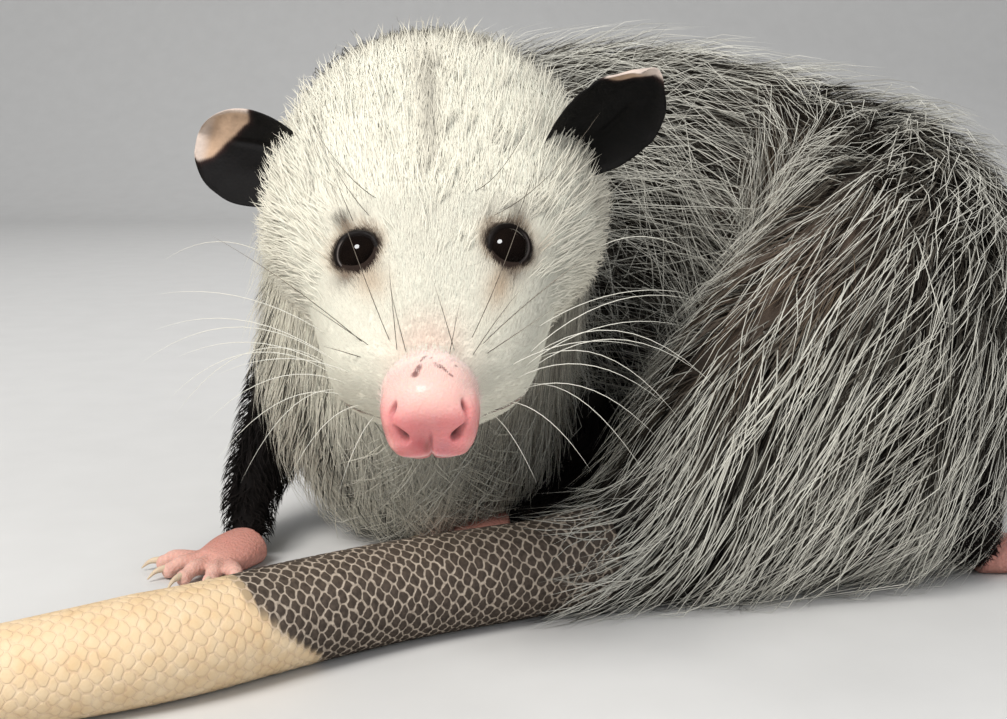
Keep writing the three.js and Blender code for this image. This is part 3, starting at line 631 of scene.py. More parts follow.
CREAM = linear(249, 243, 224)
TAN = linear(196, 168, 138)
SMOKE = linear(58, 46, 40)
DUSK = linear(124, 112, 98)
GREY = linear(104, 98, 88)
CHARCOAL = linear(30, 27, 24)
BROWN = linear(116, 100, 88)
WHITE = linear(238, 235, 222)
BLACK = linear(24, 21, 20)
ROSE = linear(244, 208, 190)


def plain(colour, count):
    return np.tile(colour, (count, 1))


def soft_step(value, low, high):
    share = np.clip((value - low) / (high - low), 0, 1)
    return share * share * (3 - 2 * share)


def mix(first, second, share):
    return first * (1 - share[..., None]) + second * share[..., None]


def patches(points, size, seed):
    """Smooth random values, about -1 to 1, that vary over size millimetres."""
    offset = Vector((seed * 17.3, seed * 5.1, seed * 9.7))
    return np.array([noise.noise(Vector(p / size) + offset) for p in points]) * 1.6


# The mouth's dark line, painted shade of the crease between the lips, and the lip under it: drop, half
# width, colour
MOUTH_SHADE_AND_LIP = ((0.0, 0.3, linear(40, 28, 25)), (0.55, 0.4, linear(120, 92, 82)))
# Shades round each eye: towards its inner corner and above it, half length, half width, colour, share
EYE_SHADES = {
    "left": (
        (15.0, -2.0, 8.0, 3.0, TAN, 0.8),
        (8.0, -3.4, 4.0, 2.8, SMOKE * 1.7, 0.9),
        (7.0, 2.6, 3.4, 2.4, SMOKE * 2.4, 0.7),
        (-8.8, 0.6, 3.2, 2.8, BROWN * 0.5, 0.75),
        (-4.0, 6.6, 3.0, 1.8, BROWN * 0.6, 0.5),
    ),
    "right": (
        (12.5, -1.6, 6.0, 4.0, TAN, 0.65),
        (6.4, -5.4, 3.4, 3.4, SMOKE * 1.9, 0.88),
        (7.4, 1.2, 2.6, 2.2, SMOKE * 2.2, 0.6),
        (-8.2, 1.4, 3.4, 2.2, SMOKE * 0.9, 0.92),
        (-2.0, 6.2, 4.0, 1.4, SMOKE * 1.2, 0.6),
    ),
}


def shade_of_eye(colour, local):
    """Adds the shades round the eyes to the colours at points of the head."""
    for name, spots in EYE_SHADES.items():
        centre, _, corner, above = eye_axes(name)
        away = local - centre
        near = local[..., 0] * SIDES[name] > 0
        for beyond, above_it, long, wide, shade, share in spots:
            gap = ((away @ corner - beyond) / long) ** 2 + ((away @ above - above_it) / wide) ** 2
            colour = mix(colour, shade, share * np.exp(-gap) * near)
    return colour


def markings(points, s):
    """The colour of the coat at points of the trunk, whichever layer wears it."""
    local = world_to_head(points)
    x, ahead, up = local[:, 0], -local[:, 1], local[:, 2]
    colour = plain(CREAM, len(points))
    # the muzzle's pink skin shows through where the hair is short
    pink = soft_step(ahead, 34, 55) * soft_step(up, -6, 6) * np.exp(-(x / 8.0) ** 2)
    colour = mix(colour, ROSE, 0.75 * pink)
    # dark rims round the eyes, faded below their inner corners
    gap = past_lids(local)
    colour = shade_of_eye(colour, local)
    colour = mix(colour, TAN, 0.5 * soft_step(-gap, -4.8, -1.8))
    colour = mix(colour, DUSK, 0.8 * soft_step(-gap, -3.4, -1.5))
    colour = mix(colour, SMOKE * 0.8, soft_step(-gap, -2.4, -1.0))
    # faint dark streak up the forehead
    streak = np.exp(-(x / 2.6) ** 2) * soft_step(-ahead, 4, 20) * soft_step(ahead, -52, -36)
    colour = mix(colour, GREY, 0.45 * streak)
    # crown and nape turn grey, throat and right shoulder stay pale
    nape = soft_step(s, -1.5, -0.3)
    side = soft_step(s, -1.2, 0.5)
    throat = soft_step(-up, 4, 40) * soft_step(-s, -3.2, -1.4) * soft_step(points[:, 2], 24, 50)
    # on the animal's left the pale throat gives way to dark: partly the chest's own dark hair, partly
    # painted shade
    throat = throat * soft_step(-x, -20, -4)
    shoulder = soft_step(-points[:, 0], 22, 48) * soft_step(-s, -4.6, -2.6)
    grey = np.where(up > -8, np.maximum(nape, side), side)
    grey = np.clip(grey, 0, 1) * (1 - 0.9 * throat) * (1 - 0.72 * shoulder * (1 - nape * (up > 12)))
    return colour, np.clip(grey, 0, 1)


# Strands


class Strands:
    """Strands of hair: their middle lines, the way out of the skin beside them, and their roots."""

    def __init__(self, points, normals, root, shares):
        self.points = points
        self.normals = normals
        self.root = root
        self.shares = np.asarray(shares)

    def wave(self, random, aside, outward, turns=1.0):
        """Bends each strand sideways and off the coat, more towards its tip."""
        count = len(self.points)
        heading = unit(self.points[:, -1] - self.points[:, 0])
        phase = random.uniform(0, 2 * math.pi, count)
        bend = random.uniform(-1.7, 1.7, count)
        lift = random.uniform(-1.7, 1.7, count)
        for k, share in enumerate(self.shares):
            across = unit(np.cross(heading, self.normals[:, k]))
            swing = bend * share * share + 0.5 * np.sin(phase + turns * 2 * math.pi * share) * share
            self.points[:, k] += across * (aside * swing)[:, None]
            self.points[:, k] += self.normals[:, k] * (outward * lift * share * share)[:, None]

    def gather(self, guide, share_of_pull):
        """Draws the strands together towards their tuft's own line."""
        for k, share in enumerate(self.shares):
            pull = share_of_pull * share ** 1.2
            self.points[:, k] = self.points[:, k] * (1 - pull) + guide[:, k] * pull

    def keep(self, chosen):
        self.points, self.normals = self.points[chosen], self.normals[chosen]
        self.root = tuple(part[chosen] for part in self.root)


def grow(surface, u, v, length, steep, low, high, shares):
    """Strands over a surface, from low under its outline to high over it, steep being their angle to u."""
    points = np.zeros((len(u), len(shares), 3))
    normals = np.zeros_like(points)
    nudge = 0.01
    side = np.where(np.sin(v) < 0, -1.0, 1.0)
    here_u, here_v = u.copy(), v.copy()
    for k, share in enumerate(shares):
        lift = low + (high - low) * math.sin(share * math.pi / 2)
        here = surface(here_u, here_v, lift)
        flow = (surface(here_u + nudge, here_v, lift) - here) / nudge
        round_it = (surface(here_u, here_v + nudge, lift) - here) / nudge
        points[:, k] = here
        normals[:, k] = unit(np.cross(flow, round_it))
        if k + 1 < len(shares):
            step = length * (shares[k + 1] - share)
            here_u = here_u + step * np.cos(steep) / np.maximum(np.linalg.norm(flow, axis=1), 3.0)
            turned = step * np.sin(steep) / np.maximum(np.linalg.norm(round_it, axis=1), 2.0)
            here_v = here_v + side * turned
    out = surface(u, v, low + 1.0) - surface(u, v, low)
    normals *= np.sign(np.einsum("ij,ij->i", normals[:, 0], out))[:, None, None]
    return Strands(points, normals, (u.copy(), v.copy()), shares)


def scatter(surface, span, count, random, density=None):
    """Places spread evenly over a span of a surface, or more thickly where density says."""
    cells = 72
    u = np.linspace(*span, cells + 1)
    v = np.linspace(*ALL_ROUND, cells + 1)
    corner_u, corner_v = np.meshgrid(u, v, indexing="ij")
    points = surface(corner_u, corner_v, np.zeros(corner_u.shape))
    along = points[1:, :-1] - points[:-1, :-1]
    round_it = points[:-1, 1:] - points[:-1, :-1]
    area = np.linalg.norm(np.cross(along, round_it), axis=-1)
    wide_u, wide_v = u[1] - u[0], v[1] - v[0]
    if density is not None:
        area = area * density(corner_u[:-1, :-1] + wide_u / 2, corner_v[:-1, :-1] + wide_v / 2)
    chosen = random.choice(area.size, count, p=(area / area.sum()).ravel())
    row, column = np.unravel_index(chosen, area.shape)
    found_u = u[row] + random.uniform(0, wide_u, count)
    return found_u, v[column] + random.uniform(0, wide_v, count)


def blades(name, strands, width, colours, tips, span, soft):
    """Thin three-sided blades along the strands, each with its colour at the root and at the tip."""
    points, shares = strands.points, strands.shares
    count, steps = points.shape[:2]
    heading = np.zeros_like(points)
    heading[:, 1:-1] = points[:, 2:] - points[:, :-2]
    heading[:, 0] = points[:, 1] - points[:, 0]
    heading[:, -1] = points[:, -1] - points[:, -2]
    heading = unit(heading)
    outward = strands.normals - heading * np.einsum("nki,nki->nk", heading, strands.normals)[..., None]
    outward = unit(outward)
    across = np.cross(heading, outward)
    taper = profile(HAIR_TAPER, shares)
    half = (width[:, None] * taper[None, :] / 2)[..., None]
    rings = np.stack([points + across * half, points - across * half, points + outward * half * 0.9], 2)
    verts = np.concatenate([rings[:, :-1].reshape(count, -1, 3), points[:, -1:]], 1)
    way = unit(strands.normals)
    facing = [across - outward * 0.4, -across - outward * 0.4, outward]
    leaning = np.stack([unit(unit(part) * (1 - soft) + way * soft) for part in facing], 2)
    leaning = np.concatenate([leaning[:, :-1].reshape(count, -1, 3), way[:, -1:]], 1)
    per = verts.shape[1]
    flat = verts.reshape(-1, 3)
    flat[:, 2] = np.maximum(flat[:, 2], OVER_FLOOR)
    pattern = []
    for k in range(steps - 2):
        low, high = 3 * k, 3 * (k + 1)
        for a, b in ((0, 1), (1, 2), (2, 0)):
            pattern.append([low + a, low + b, high + b])
            pattern.append([low + a, high + b, high + a])
    end = 3 * (steps - 2)
    for a, b in ((0, 1), (1, 2), (2, 0)):
        pattern.append([end + a, end + b, per - 1])
    pattern.append([0, 2, 1])
    faces = (np.array(pattern)[None] + (np.arange(count) * per)[:, None, None]).reshape(-1, 3)
    mesh = make_mesh(name, to_frame(flat), faces)
    mesh.normals_split_custom_set_from_vertices(leaning.reshape(-1, 3).astype(np.float32))
    along = np.concatenate([np.repeat(shares[:-1], 3), [1.0]])
    tint = colours[:, None] * (1 - along[None, :, None]) + tips[:, None] * along[None, :, None]
    paint(mesh, tint.reshape(-1, 3))
    weigh(mesh, np.tile(along, count), "along")
    root_u = (strands.root[0] - span[0]) / (span[1] - span[0])
    root_v = (strands.root[1] - ALL_ROUND[0]) / (ALL_ROUND[1] - ALL_ROUND[0])
    side = np.concatenate([np.tile([0.0, 1.0, 0.5], steps - 1), [0.5]])
    uv = np.stack([
        np.clip(root_u, 0, 1)[:, None] * (1 - BAKE_PATCH) + side[None] * BAKE_PATCH,
        np.clip(root_v, 0, 1)[:, None] * (1 - BAKE_PATCH) + along[None] * BAKE_PATCH,
    ], -1).reshape(-1, 2)
    add_map(mesh, "OFBake", uv[read_numbers(mesh.loops, "vertex_index")])
    return mesh


# Materials


def new_material(name):
    material = bpy.data.materials.new(name)
    material.use_nodes = True
    nodes = material.node_tree.nodes
    nodes.clear()
    shader = nodes.new("ShaderNodeBsdfPrincipled")
    output = nodes.new("ShaderNodeOutputMaterial")
    material.node_tree.links.new(shader.outputs[0], output.inputs[0])
    return material, shader


def node_group(name, inputs, outputs, build):
    """A shader node group with named sockets, built once."""
    group = bpy.data.node_groups.get(name)
    if group:
        return group
    group = bpy.data.node_groups.new(name, "ShaderNodeTree")
    for label, kind, value in inputs:
        socket = group.interface.new_socket(name=label, in_out="INPUT", socket_type=kind)
        socket.default_value = value
    for label, kind in outputs:
        group.interface.new_socket(name=label, in_out="OUTPUT", socket_type=kind)
    start = group.nodes.new("NodeGroupInput")
    end = group.nodes.new("NodeGroupOutput")
    build(group, start, end)
    return group


def feed(tree, node, values):
    """Links or sets the inputs of a node, each by its name or number."""
    for label, value in values.items():
        if isinstance(value, bpy.types.NodeSocket):
            tree.links.new(value, node.inputs[label])
        else:
            node.inputs[label].default_value = value
    return node


def use_group(material, group, values):
    node = material.node_tree.nodes.new("ShaderNodeGroup")
    node.node_tree = group
    return feed(material.node_tree, node, values)


def math_node(tree, operation, *values, clamp=False):
    node = tree.nodes.new("ShaderNodeMath")
    node.operation = operation
    node.use_clamp = clamp
    return feed(tree, node, dict(enumerate(values))).outputs[0]


def mix_node(tree, factor, first, second, blend="MIX"):
    node = tree.nodes.new("ShaderNodeMix")
    node.data_type = "RGBA"
    node.blend_type = blend
    return feed(tree, node, {0: factor, 6: first, 7: second}).outputs[2]


def noise_node(tree, scale, detail=3.0, roughness=0.5, vector=None):
    node = tree.nodes.new("ShaderNodeTexNoise")
    if vector is None:
        vector = tree.nodes.new("ShaderNodeTexCoord").outputs["Object"]
    feed(tree, node, {"Scale": scale, "Detail": detail, "Roughness": roughness, "Vector": vector})
    return node.outputs["Fac"]


def bump_node(tree, height, strength, distance):
    node = tree.nodes.new("ShaderNodeBump")
    feed(tree, node, {"Height": height, "Strength": strength, "Distance": distance})
    return node.outputs["Normal"]


def build_fibre(group, start, end):
    """Darkens a strand at its root and streaks it with finer hairs."""
    fine = noise_node(group, 2600.0, 1.0)
    broad = noise_node(group, 90.0, 1.0)
    streak = math_node(group, "MULTIPLY_ADD", fine, start.outputs["Streak"], 1.0)
    shade = math_node(group, "MULTIPLY_ADD", broad, start.outputs["Patch"], streak)
    for label in ("Streak", "Patch"):
        half = math_node(group, "MULTIPLY", start.outputs[label], 0.5)
        shade = math_node(group, "SUBTRACT", shade, half)
    root = math_node(group, "POWER", start.outputs["Along"], 0.6)
    depth = math_node(group, "SUBTRACT", 1.0, root)
    depth = math_node(group, "MULTIPLY", depth, start.outputs["Root shade"])
    level = math_node(group, "MULTIPLY", shade, math_node(group, "SUBTRACT", 1.0, depth))
    scale = group.nodes.new("ShaderNodeVectorMath")
    scale.operation = "SCALE"
    feed(group, scale, {0: start.outputs["Tint"], "Scale": level})
    rough = math_node(group, "MULTIPLY_ADD", fine, 0.25, 0.4)
    feed(group, end, {"Color": scale.outputs[0], "Roughness": rough})


def fibre_group():
    return node_group(
        "fibre tone",
        [
            ("Tint", "NodeSocketColor", (0.5, 0.5, 0.5, 1)),
            ("Along", "NodeSocketFloat", 1.0),
            ("Streak", "NodeSocketFloat", 0.3),
            ("Patch", "NodeSocketFloat", 0.2),
            ("Root shade", "NodeSocketFloat", 0.5),
        ],
        [("Color", "NodeSocketColor"), ("Roughness", "NodeSocketFloat")],
        build_fibre,
    )


def attribute(material, name):
    node = material.node_tree.nodes.new("ShaderNodeAttribute")
    node.attribute_name = name
    return node


def fibre_material(name, streak, patch, root_shade):
    material, shader = new_material(name)
    tone = use_group(material, fibre_group(), {
        "Tint": attribute(material, "tint").outputs["Color"],
        "Along": attribute(material, "along").outputs["Fac"],
        "Streak": streak,
        "Patch": patch,
        "Root shade": root_shade,
    })
    feed(material.node_tree, shader, {
        "Base Color": tone.outputs["Color"],
        "Roughness": tone.outputs["Roughness"],
        "Specular IOR Level": 0.1,
    })
    return material


def build_pores(group, start, end):
    """Pebbled bare skin: fine bumps, creases and blotches."""
    coordinates = group.nodes.new("ShaderNodeTexCoord").outputs["Object"]
    pebble = group.nodes.new("ShaderNodeTexVoronoi")
    pebble.feature = "F1"
    feed(group, pebble, {"Scale": start.outputs["Pebble scale"], "Vector": coordinates})
    blotch = noise_node(group, 260.0, 2.0, 0.6, coordinates)
    share = math_node(group, "MULTIPLY", blotch, start.outputs["Blotch"], clamp=True)
    color = mix_node(group, share, start.outputs["Tint"], start.outputs["Blotch tint"])
    crease = noise_node(group, 900.0, 1.0, 0.6, coordinates)
    height = math_node(group, "MULTIPLY_ADD", pebble.outputs["Distance"], -1.0, crease)
    rough = math_node(group, "MULTIPLY_ADD", blotch, 0.25, start.outputs["Roughness"])
    feed(group, end, {"Color": color, "Height": height, "Roughness": rough})


def pores_group():
    return node_group(
        "bare skin pores",
        [
            ("Tint", "NodeSocketColor", (0.5, 0.5, 0.5, 1)),
            ("Blotch tint", "NodeSocketColor", (0.4, 0.3, 0.3, 1)),
            ("Blotch", "NodeSocketFloat", 0.3),
            ("Pebble scale", "NodeSocketFloat", 1500.0),
            ("Roughness", "NodeSocketFloat", 0.3),
        ],
        [("Color", "NodeSocketColor"), ("Height", "NodeSocketFloat"), ("Roughness", "NodeSocketFloat")],
        build_pores,
    )


def bare_material(name, blotch_tint, blotch, pebble, roughness, bump, soft=0.0, coat=0.0):
    """Bare skin whose colour is painted on the mesh as tint."""
    material, shader = new_material(name)
    tree = material.node_tree
    pores = use_group(material, pores_group(), {
        "Tint": attribute(material, "tint").outputs["Color"],
        "Blotch tint": (*blotch_tint, 1.0),
        "Blotch": blotch,
        "Pebble scale": pebble,
        "Roughness": roughness,
    })
    feed(tree, shader, {
        "Base Color": pores.outputs["Color"],
        "Roughness": pores.outputs["Roughness"],
        "Normal": bump_node(tree, pores.outputs["Height"], bump, 0.0003),
        "Subsurface Weight": soft,
        "Subsurface Radius": (0.004, 0.0016, 0.001),
        "Subsurface Scale": 0.6,
        "Coat Weight": coat,
        "Coat Roughness": 0.15,
    })
    return material


def skin_material():
    """Skin under the coat, its short flat hair a fine bump."""
    material, shader = new_material("skin under the coat")
    tree = material.node_tree
    hair = noise_node(tree, 1300.0, 1.0)
    color = mix_node(tree, 0.25, attribute(material, "tint").outputs["Color"], hair, "MULTIPLY")
    bump = bump_node(tree, hair, 0.4, 0.0004)
    feed(tree, shader, {"Base Color": color, "Normal": bump, "Roughness": 0.7, "Specular IOR Level": 0.2})
    return material


def eye_material():
    material, shader = new_material("wet black eye")
    tree = material.node_tree
    depth = noise_node(tree, 240.0, 2.0)
    color = mix_node(tree, depth, (0.004, 0.003, 0.003, 1), (0.012, 0.008, 0.006, 1))
    feed(tree, shader, {"Base Color": color, "Roughness": 0.05, "Specular IOR Level": 0.9})
    return material


def build_scales(group, start, end):
    """Staggered scales over a tail, from ring and round numbers: plate mask and height."""
    sway = math_node(group, "SUBTRACT", noise_node(group, 300.0, 1.0), 0.5)
    drift = math_node(group, "SUBTRACT", noise_node(group, 370.0, 1.0), 0.5)
    ring = math_node(group, "ADD", start.outputs["Ring"], math_node(group, "MULTIPLY", sway, 0.8))
    around = math_node(group, "ADD", start.outputs["Around"], math_node(group, "MULTIPLY", drift, 0.5))

    def distance(shift, beyond):
        across = math_node(group, "ADD", math_node(group, "MULTIPLY", ring, 0.5), 0.5 + shift / 2)
        across = math_node(group, "SUBTRACT", math_node(group, "FRACT", across), 0.5)
        across = math_node(group, "MULTIPLY", across, 2.0)
        upward = math_node(group, "ADD", around, 0.5 + shift / 2)
        upward = math_node(group, "SUBTRACT", math_node(group, "FRACT", upward), 0.5)
        upward = math_node(group, "ABSOLUTE", upward)
        if beyond:
            upward = math_node(group, "SUBTRACT", 1.0, upward)
        upward = math_node(group, "MULTIPLY", upward, SCALE_STRETCH)
        square = math_node(group, "MULTIPLY", across, across)
        total = math_node(group, "ADD", square, math_node(group, "MULTIPLY", upward, upward))
        return math_node(group, "SQRT", total)

    first, second = distance(0, False), distance(1, False)
    nearest = math_node(group, "MINIMUM", first, second)
    following = math_node(group, "MAXIMUM", first, second)
    following = math_node(group, "MINIMUM", following, distance(0, True))
    following = math_node(group, "MINIMUM", following, distance(1, True))
    edge = math_node(group, "SUBTRACT", following, nearest)
    plate = group.nodes.new("ShaderNodeMapRange")
    plate.interpolation_type = "SMOOTHSTEP"
    mask = feed(group, plate, {"Value": edge, "From Min": 0.1, "From Max": 0.3}).outputs["Result"]
    height = math_node(group, "MULTIPLY_ADD", noise_node(group, 1400.0, 1.0), 0.35, mask)
    feed(group, end, {"Plate": mask, "Height": height})


def scales_group():
    return node_group(
        "tail scales",
        [("Ring", "NodeSocketFloat", 0.0), ("Around", "NodeSocketFloat", 0.0)],
        [("Plate", "NodeSocketFloat"), ("Height", "NodeSocketFloat")],
        build_scales,
    )


def tail_material():
    material, shader = new_material("scaled tail")
    tree = material.node_tree
    place = tree.nodes.new("ShaderNodeUVMap")
    place.uv_map = "Rings"
    parts = tree.nodes.new("ShaderNodeSeparateXYZ")
    tree.links.new(place.outputs[0], parts.inputs[0])
    scales = use_group(material, scales_group(), {"Ring": parts.outputs[0], "Around": parts.outputs[1]})
    dark = attribute(material, "dark").outputs["Fac"]
    patch = noise_node(tree, 160.0, 2.0, 0.6)
    pale_plate = mix_node(tree, patch, (*linear(226, 190, 140), 1), (*linear(244, 222, 188), 1))
    pale_edge = mix_node(tree, patch, (*linear(214, 172, 126), 1), (*linear(248, 228, 196), 1))
    fleck = noise_node(tree, 900.0, 2.0)
    dark_plate = mix_node(tree, fleck, (*linear(34, 28, 25), 1), (*linear(104, 90, 78), 1))
    dark_edge = mix_node(tree, fleck, (*linear(104, 90, 78), 1), (*linear(222, 206, 186), 1))
    pale = mix_node(tree, scales.outputs["Plate"], pale_edge, pale_plate)
    deep = mix_node(tree, scales.outputs["Plate"], dark_edge, dark_plate)
    feed(tree, shader, {
        "Base Color": mix_node(tree, dark, pale, deep),
        "Normal": bump_node(tree, scales.outputs["Height"], 0.5, 0.0003),
        "Roughness": math_node(tree, "MULTIPLY_ADD", patch, 0.25, 0.38),
    })
    return material


# Pieces


def near_legs(points):
    """1 on the legs, fading out where they leave the trunk."""
    share = np.zeros(len(points))
    for joints in LEGS.values():
        rows = smooth_rows(np.array(joints, float), np.linspace(0.5, 3, 26))
        for k, row in enumerate(rows):
            gap = np.linalg.norm(points - row[:3], axis=1) - max(row[3], row[4])
            share = np.maximum(share, soft_step(-gap, -5, 2) * min(1, k / 8))
    return share


class OPOSSUM_OT_skin(bpy.types.Operator):
    """One skin over head, neck, torso and legs, inside the coat"""

    bl_idname = "opossum.skin"
    bl_label = "Skin"

    def execute(self, context):
        def under(t, angle):
            return -skin_depth(t, angle)

        parts = [
            swept(trunk, -HEAD_LAST, 1.2, 210, 220, under),
            swept(trunk, -1.0, TAIL_ROOT + 0.35, 150, 96, under),
        ]
        parts += [swept(limb_surface(joints), 0, 3, 40, 40, -2.5) for joints in LEGS.values()]
        mesh = fused("skin", parts, SKIN_DETAIL, 2)
        points = vertices_of(mesh)
        s = nearest_s(points)
        colour, grey = markings(points, s)
        colour = mix(colour, CHARCOAL * 1.3, grey)
        colour = mix(colour, BROWN, 0.8 * thin_patch(s, around_trunk(points, s)) * grey)
        paint(mesh, mix(colour, BLACK, near_legs(points)))
        torso = ("torso_front", "torso_middle", "torso_side", "torso_rear", "tail_base")
        add_object("skin", mesh, skin_material(), "grey_coat", "head", "neck", *torso, *LEGS)
        return {"FINISHED"}


def lid_ring(name):
    """Both lids of an eye as one fleshy rim that ends in a point at each corner."""
    centre, facing, corner, above = eye_axes(name)
    around, across = 96, 28
    t, k = np.meshgrid(full_turn(around), np.linspace(0, 1, across), indexing="ij")
    row = smooth_rows(LID_ROWS, k * (len(LID_ROWS) - 1))
    edge = np.degrees(np.arcsin(opening_reach(name, np.cos(t), np.sin(t))))
    polar = np.radians(edge + row[..., 0])
    wrinkle = 0.06 * np.sin(9 * t + 14 * k) * soft_step(k, 0.35, 0.6)
    reach = row[..., 1] + wrinkle
    radial = np.cos(t)[..., None] * corner + np.sin(t)[..., None] * above
    rings = centre + facing * (reach * np.cos(polar))[..., None]
    rings = rings + radial * (reach * np.sin(polar))[..., None]
    # painted highlight: the wet lower edge of the lid is painted pale, standing for its sheen
    moist_sheen = soft_step(-np.sin(t), 0.1, 0.5) * soft_step(-np.cos(t), -0.6, 0.0)
    moist_sheen = LID_PAINTED_SHINE[name] * (moist_sheen * np.exp(-((k - 0.27) / 0.05) ** 2)).ravel()
    tone = mix(plain(linear(22, 16, 14), around * across), linear(136, 126, 120), moist_sheen)
    step = np.arange(across - 1)
    last = (around - 1) * across + step
    seam = np.stack([last, last + 1, step + 1, step], -1)
    first = np.arange(around) * across
    following = np.roll(first, -1)
    back = np.stack([first + across - 1, first, following, following + across - 1], -1)
    points = rings.reshape(-1, 3)
    return points, facing_out(points, [grid_faces(around, across, closed=False), seam, back]), tone


def around_trunk(points, s):
    """Angle round the trunk at which points lie, seen from its middle."""
    top, low = trunk(s, np.zeros(len(s)), 0.0), trunk(s, np.full(len(s), math.pi), 0.0)
    aside = unit(trunk(s, np.full(len(s), 1.5), 0.0) - trunk(s, np.full(len(s), -1.5), 0.0))
    away = points - (top + low) / 2
    return np.arctan2(np.einsum("ij,ij->i", away, aside), np.einsum("ij,ij->i", away, unit(top - low)))


def nearest_s(points):
    """Where along the trunk a point lies, from the nearest of many sections."""
    stations = np.linspace(-HEAD_LAST, TAIL_ROOT, 160)
    s, angle = np.meshgrid(stations, full_turn(8), indexing="ij")
    rings = trunk(s, angle, np.full(s.shape, -4.0)).reshape(-1, 3)
    best = np.full(len(points), 1e18)
    found = np.zeros(len(points))
    for k, place in enumerate(rings):
        gap = ((points - place) ** 2).sum(1)
        closer = gap < best
        best[closer] = gap[closer]
        found[closer] = s.ravel()[k]
    return found


class OPOSSUM_OT_eyes(bpy.types.Operator):
    """Two wet black eyes and the dark lids round them"""

    bl_idname = "opossum.eyes"
    bl_label = "Eyes"

    def execute(self, context):
        glossy = eye_material()
        bare = bare_material("dark moist lid", linear(34, 25, 22), 0.3, 2200.0, 0.42, 0.25)
        for name in SIDES:
            points, faces = ball(EYE_AT[name], [EYE_RADIUS] * 3, 64, 40)
            mesh = make_mesh("eye_" + name, to_frame(head_to_world(points)), faces)
            add_object("eyeball_" + name, mesh, glossy, "eye", "eye_" + name)
            points, faces, tone = lid_ring(name)
            mesh = make_mesh("lids_" + name, to_frame(head_to_world(points)), faces)
            paint(mesh, tone)
            add_object("lids_" + name, mesh, bare, "bare_black_skin")
        return {"FINISHED"}


class OPOSSUM_OT_nose(bpy.types.Operator):
    """Bare pink nose with comma nostrils, wings beside them and a groove between"""

    bl_idname = "opossum.nose"
    bl_label = "Nose"

    def execute(self, context):
        rows, columns = 110, 170
        part, angle = np.meshgrid(np.linspace(-0.3, 1, rows), full_turn(columns), indexing="ij")
        smooth = nose_form(part, angle)
        made, faces = capped(nose_relief(smooth))
        mesh = make_mesh("nose", to_frame(head_to_world(made)), faces)
        paint(mesh, nose_colour(capped(smooth)[0]))
        material = bare_material("moist pink nose", linear(248, 206, 198), 0.3, 1500.0, 0.3, 0.35, 0.3, 0.5)
        add_object("nose_leather", mesh, material, "bare_pink_skin", "nose")
        fine_hair = fibre_material("fine hair of the nose", 0.1, 0.05, 0.05)
        add_object("nose_fuzz", nose_fuzz(), fine_hair, "white_fur")
        return {"FINISHED"}


def nose_form(part, angle):
    """The plain round form of the nose: part is 0 at the muzzle and 1 at its front."""
    inside = np.clip(part, 0, 1)
    full = np.sqrt(np.maximum(1 - (inside * 0.985) ** 2.6, 0.0))
    zero = np.zeros(part.shape)
    ahead = MUZZLE_END + NOSE_REACH * np.sin(inside * math.pi / 2) ** 0.9 + np.minimum(part, 0) * 20
    top = np.stack([zero, -ahead, (9.2 - 2.7 * inside) * full], -1)
    low = np.stack([zero, -ahead, (-12 - 4.5 * inside) * full], -1)
    across = np.stack([NOSE_HALF * full, zero, zero], -1)
    return section(top, low, across, angle, 0.48, 2.3)


def nose_fuzz():
    """Very short pale hair where the muzzle's coat thins out over the back of the nose."""
    random = np.random.default_rng(61)
    count = NOSE_HAIRS
    part = -0.12 + 0.5 * random.uniform(0, 1, count) ** 1.7
    angle = random.uniform(-2.5, 2.5, count)
    roots = nose_form(part, angle)
    outward = unit(roots - np.array([0, -MUZZLE_END, -2.0]))
    length = random.uniform(1.4, 3.0, count)[:, None]
    lean = random.normal(0, 0.25, (count, 3)) + np.array([0, 1.0, 0])
    points = np.stack([roots - outward * 0.3, roots + unit(lean) * length + outward * 0.55], 1)
    normals = np.repeat((outward @ HEAD_TURN.T)[:, None], 2, 1)
    strands = Strands(head_to_world(points), normals, (part, angle), [0, 1])
    tint = mix(plain(linear(250, 222, 212), count), CREAM, soft_step(-part, -0.12, 0.1))
    width = np.full(count, 0.17)
    return blades("nose_fuzz", strands, width, tint, tint, (-0.3, 1), 0.8)


def nostril_trace(points):
    """Depth of the slits and nostrils at points of the nose, in millimetres, before it is pressed in."""
    aside, front, up = np.abs(points[..., 0]), -points[..., 1] - MUZZLE_END, points[..., 2]
    depth = np.zeros(aside.shape)
    fine = smooth_rows(NOSTRIL, np.linspace(0, len(NOSTRIL) - 1, 60))
    for x, z, deep, half in fine:
        gap = ((aside - x) ** 2 + (up - z) ** 2) / half ** 2
        depth = np.maximum(depth, deep * np.exp(-gap))
    # the animal's right nostril is made shallower, and so also carries less painted shade
    shy = np.where((points[..., 0] < 0) & (up < 0), 0.6, 1.0)
    return depth * soft_step(front, 2.5, 6.5) * shy


def nose_relief(points):
    """Presses groove, slits and nostrils into the nose and swells its wings, lobes and lip."""
    centre = np.array([0, -MUZZLE_END - 2.0, -2.0])
    inward = unit(centre - points)
    x, front, up = points[..., 0], -points[..., 1] - MUZZLE_END, points[..., 2]
    aside = np.abs(x)
    ahead = soft_step(front, 4, 11)
    groove = 0.9 * np.exp(-(x / 0.55) ** 2) * ahead * soft_step(-up, 2.0, 6.0)
    saddle = 0.6 * np.exp(-(x / 2.6) ** 2) * ahead * soft_step(-up, -1, 4)
    wing = 0.75 * np.exp(-((aside - 9.9) / 1.5) ** 2 - ((up + 0.2) / 4.4) ** 2) * soft_step(front, 3, 7)
    lobe = 0.8 * np.exp(-((aside - 7.6) / 2.4) ** 2 - ((up + 7.4) / 2.6) ** 2) * ahead
    lip = 0.35 * np.exp(-((up + 9.9) / 0.7) ** 2) * ahead
    shoulder = 0.6 * np.exp(-((up - 5.2) / 2.4) ** 2) * ahead
    press = nostril_trace(points) + groove + saddle + shoulder - wing - lobe - lip
    return points + inward * press[..., None]


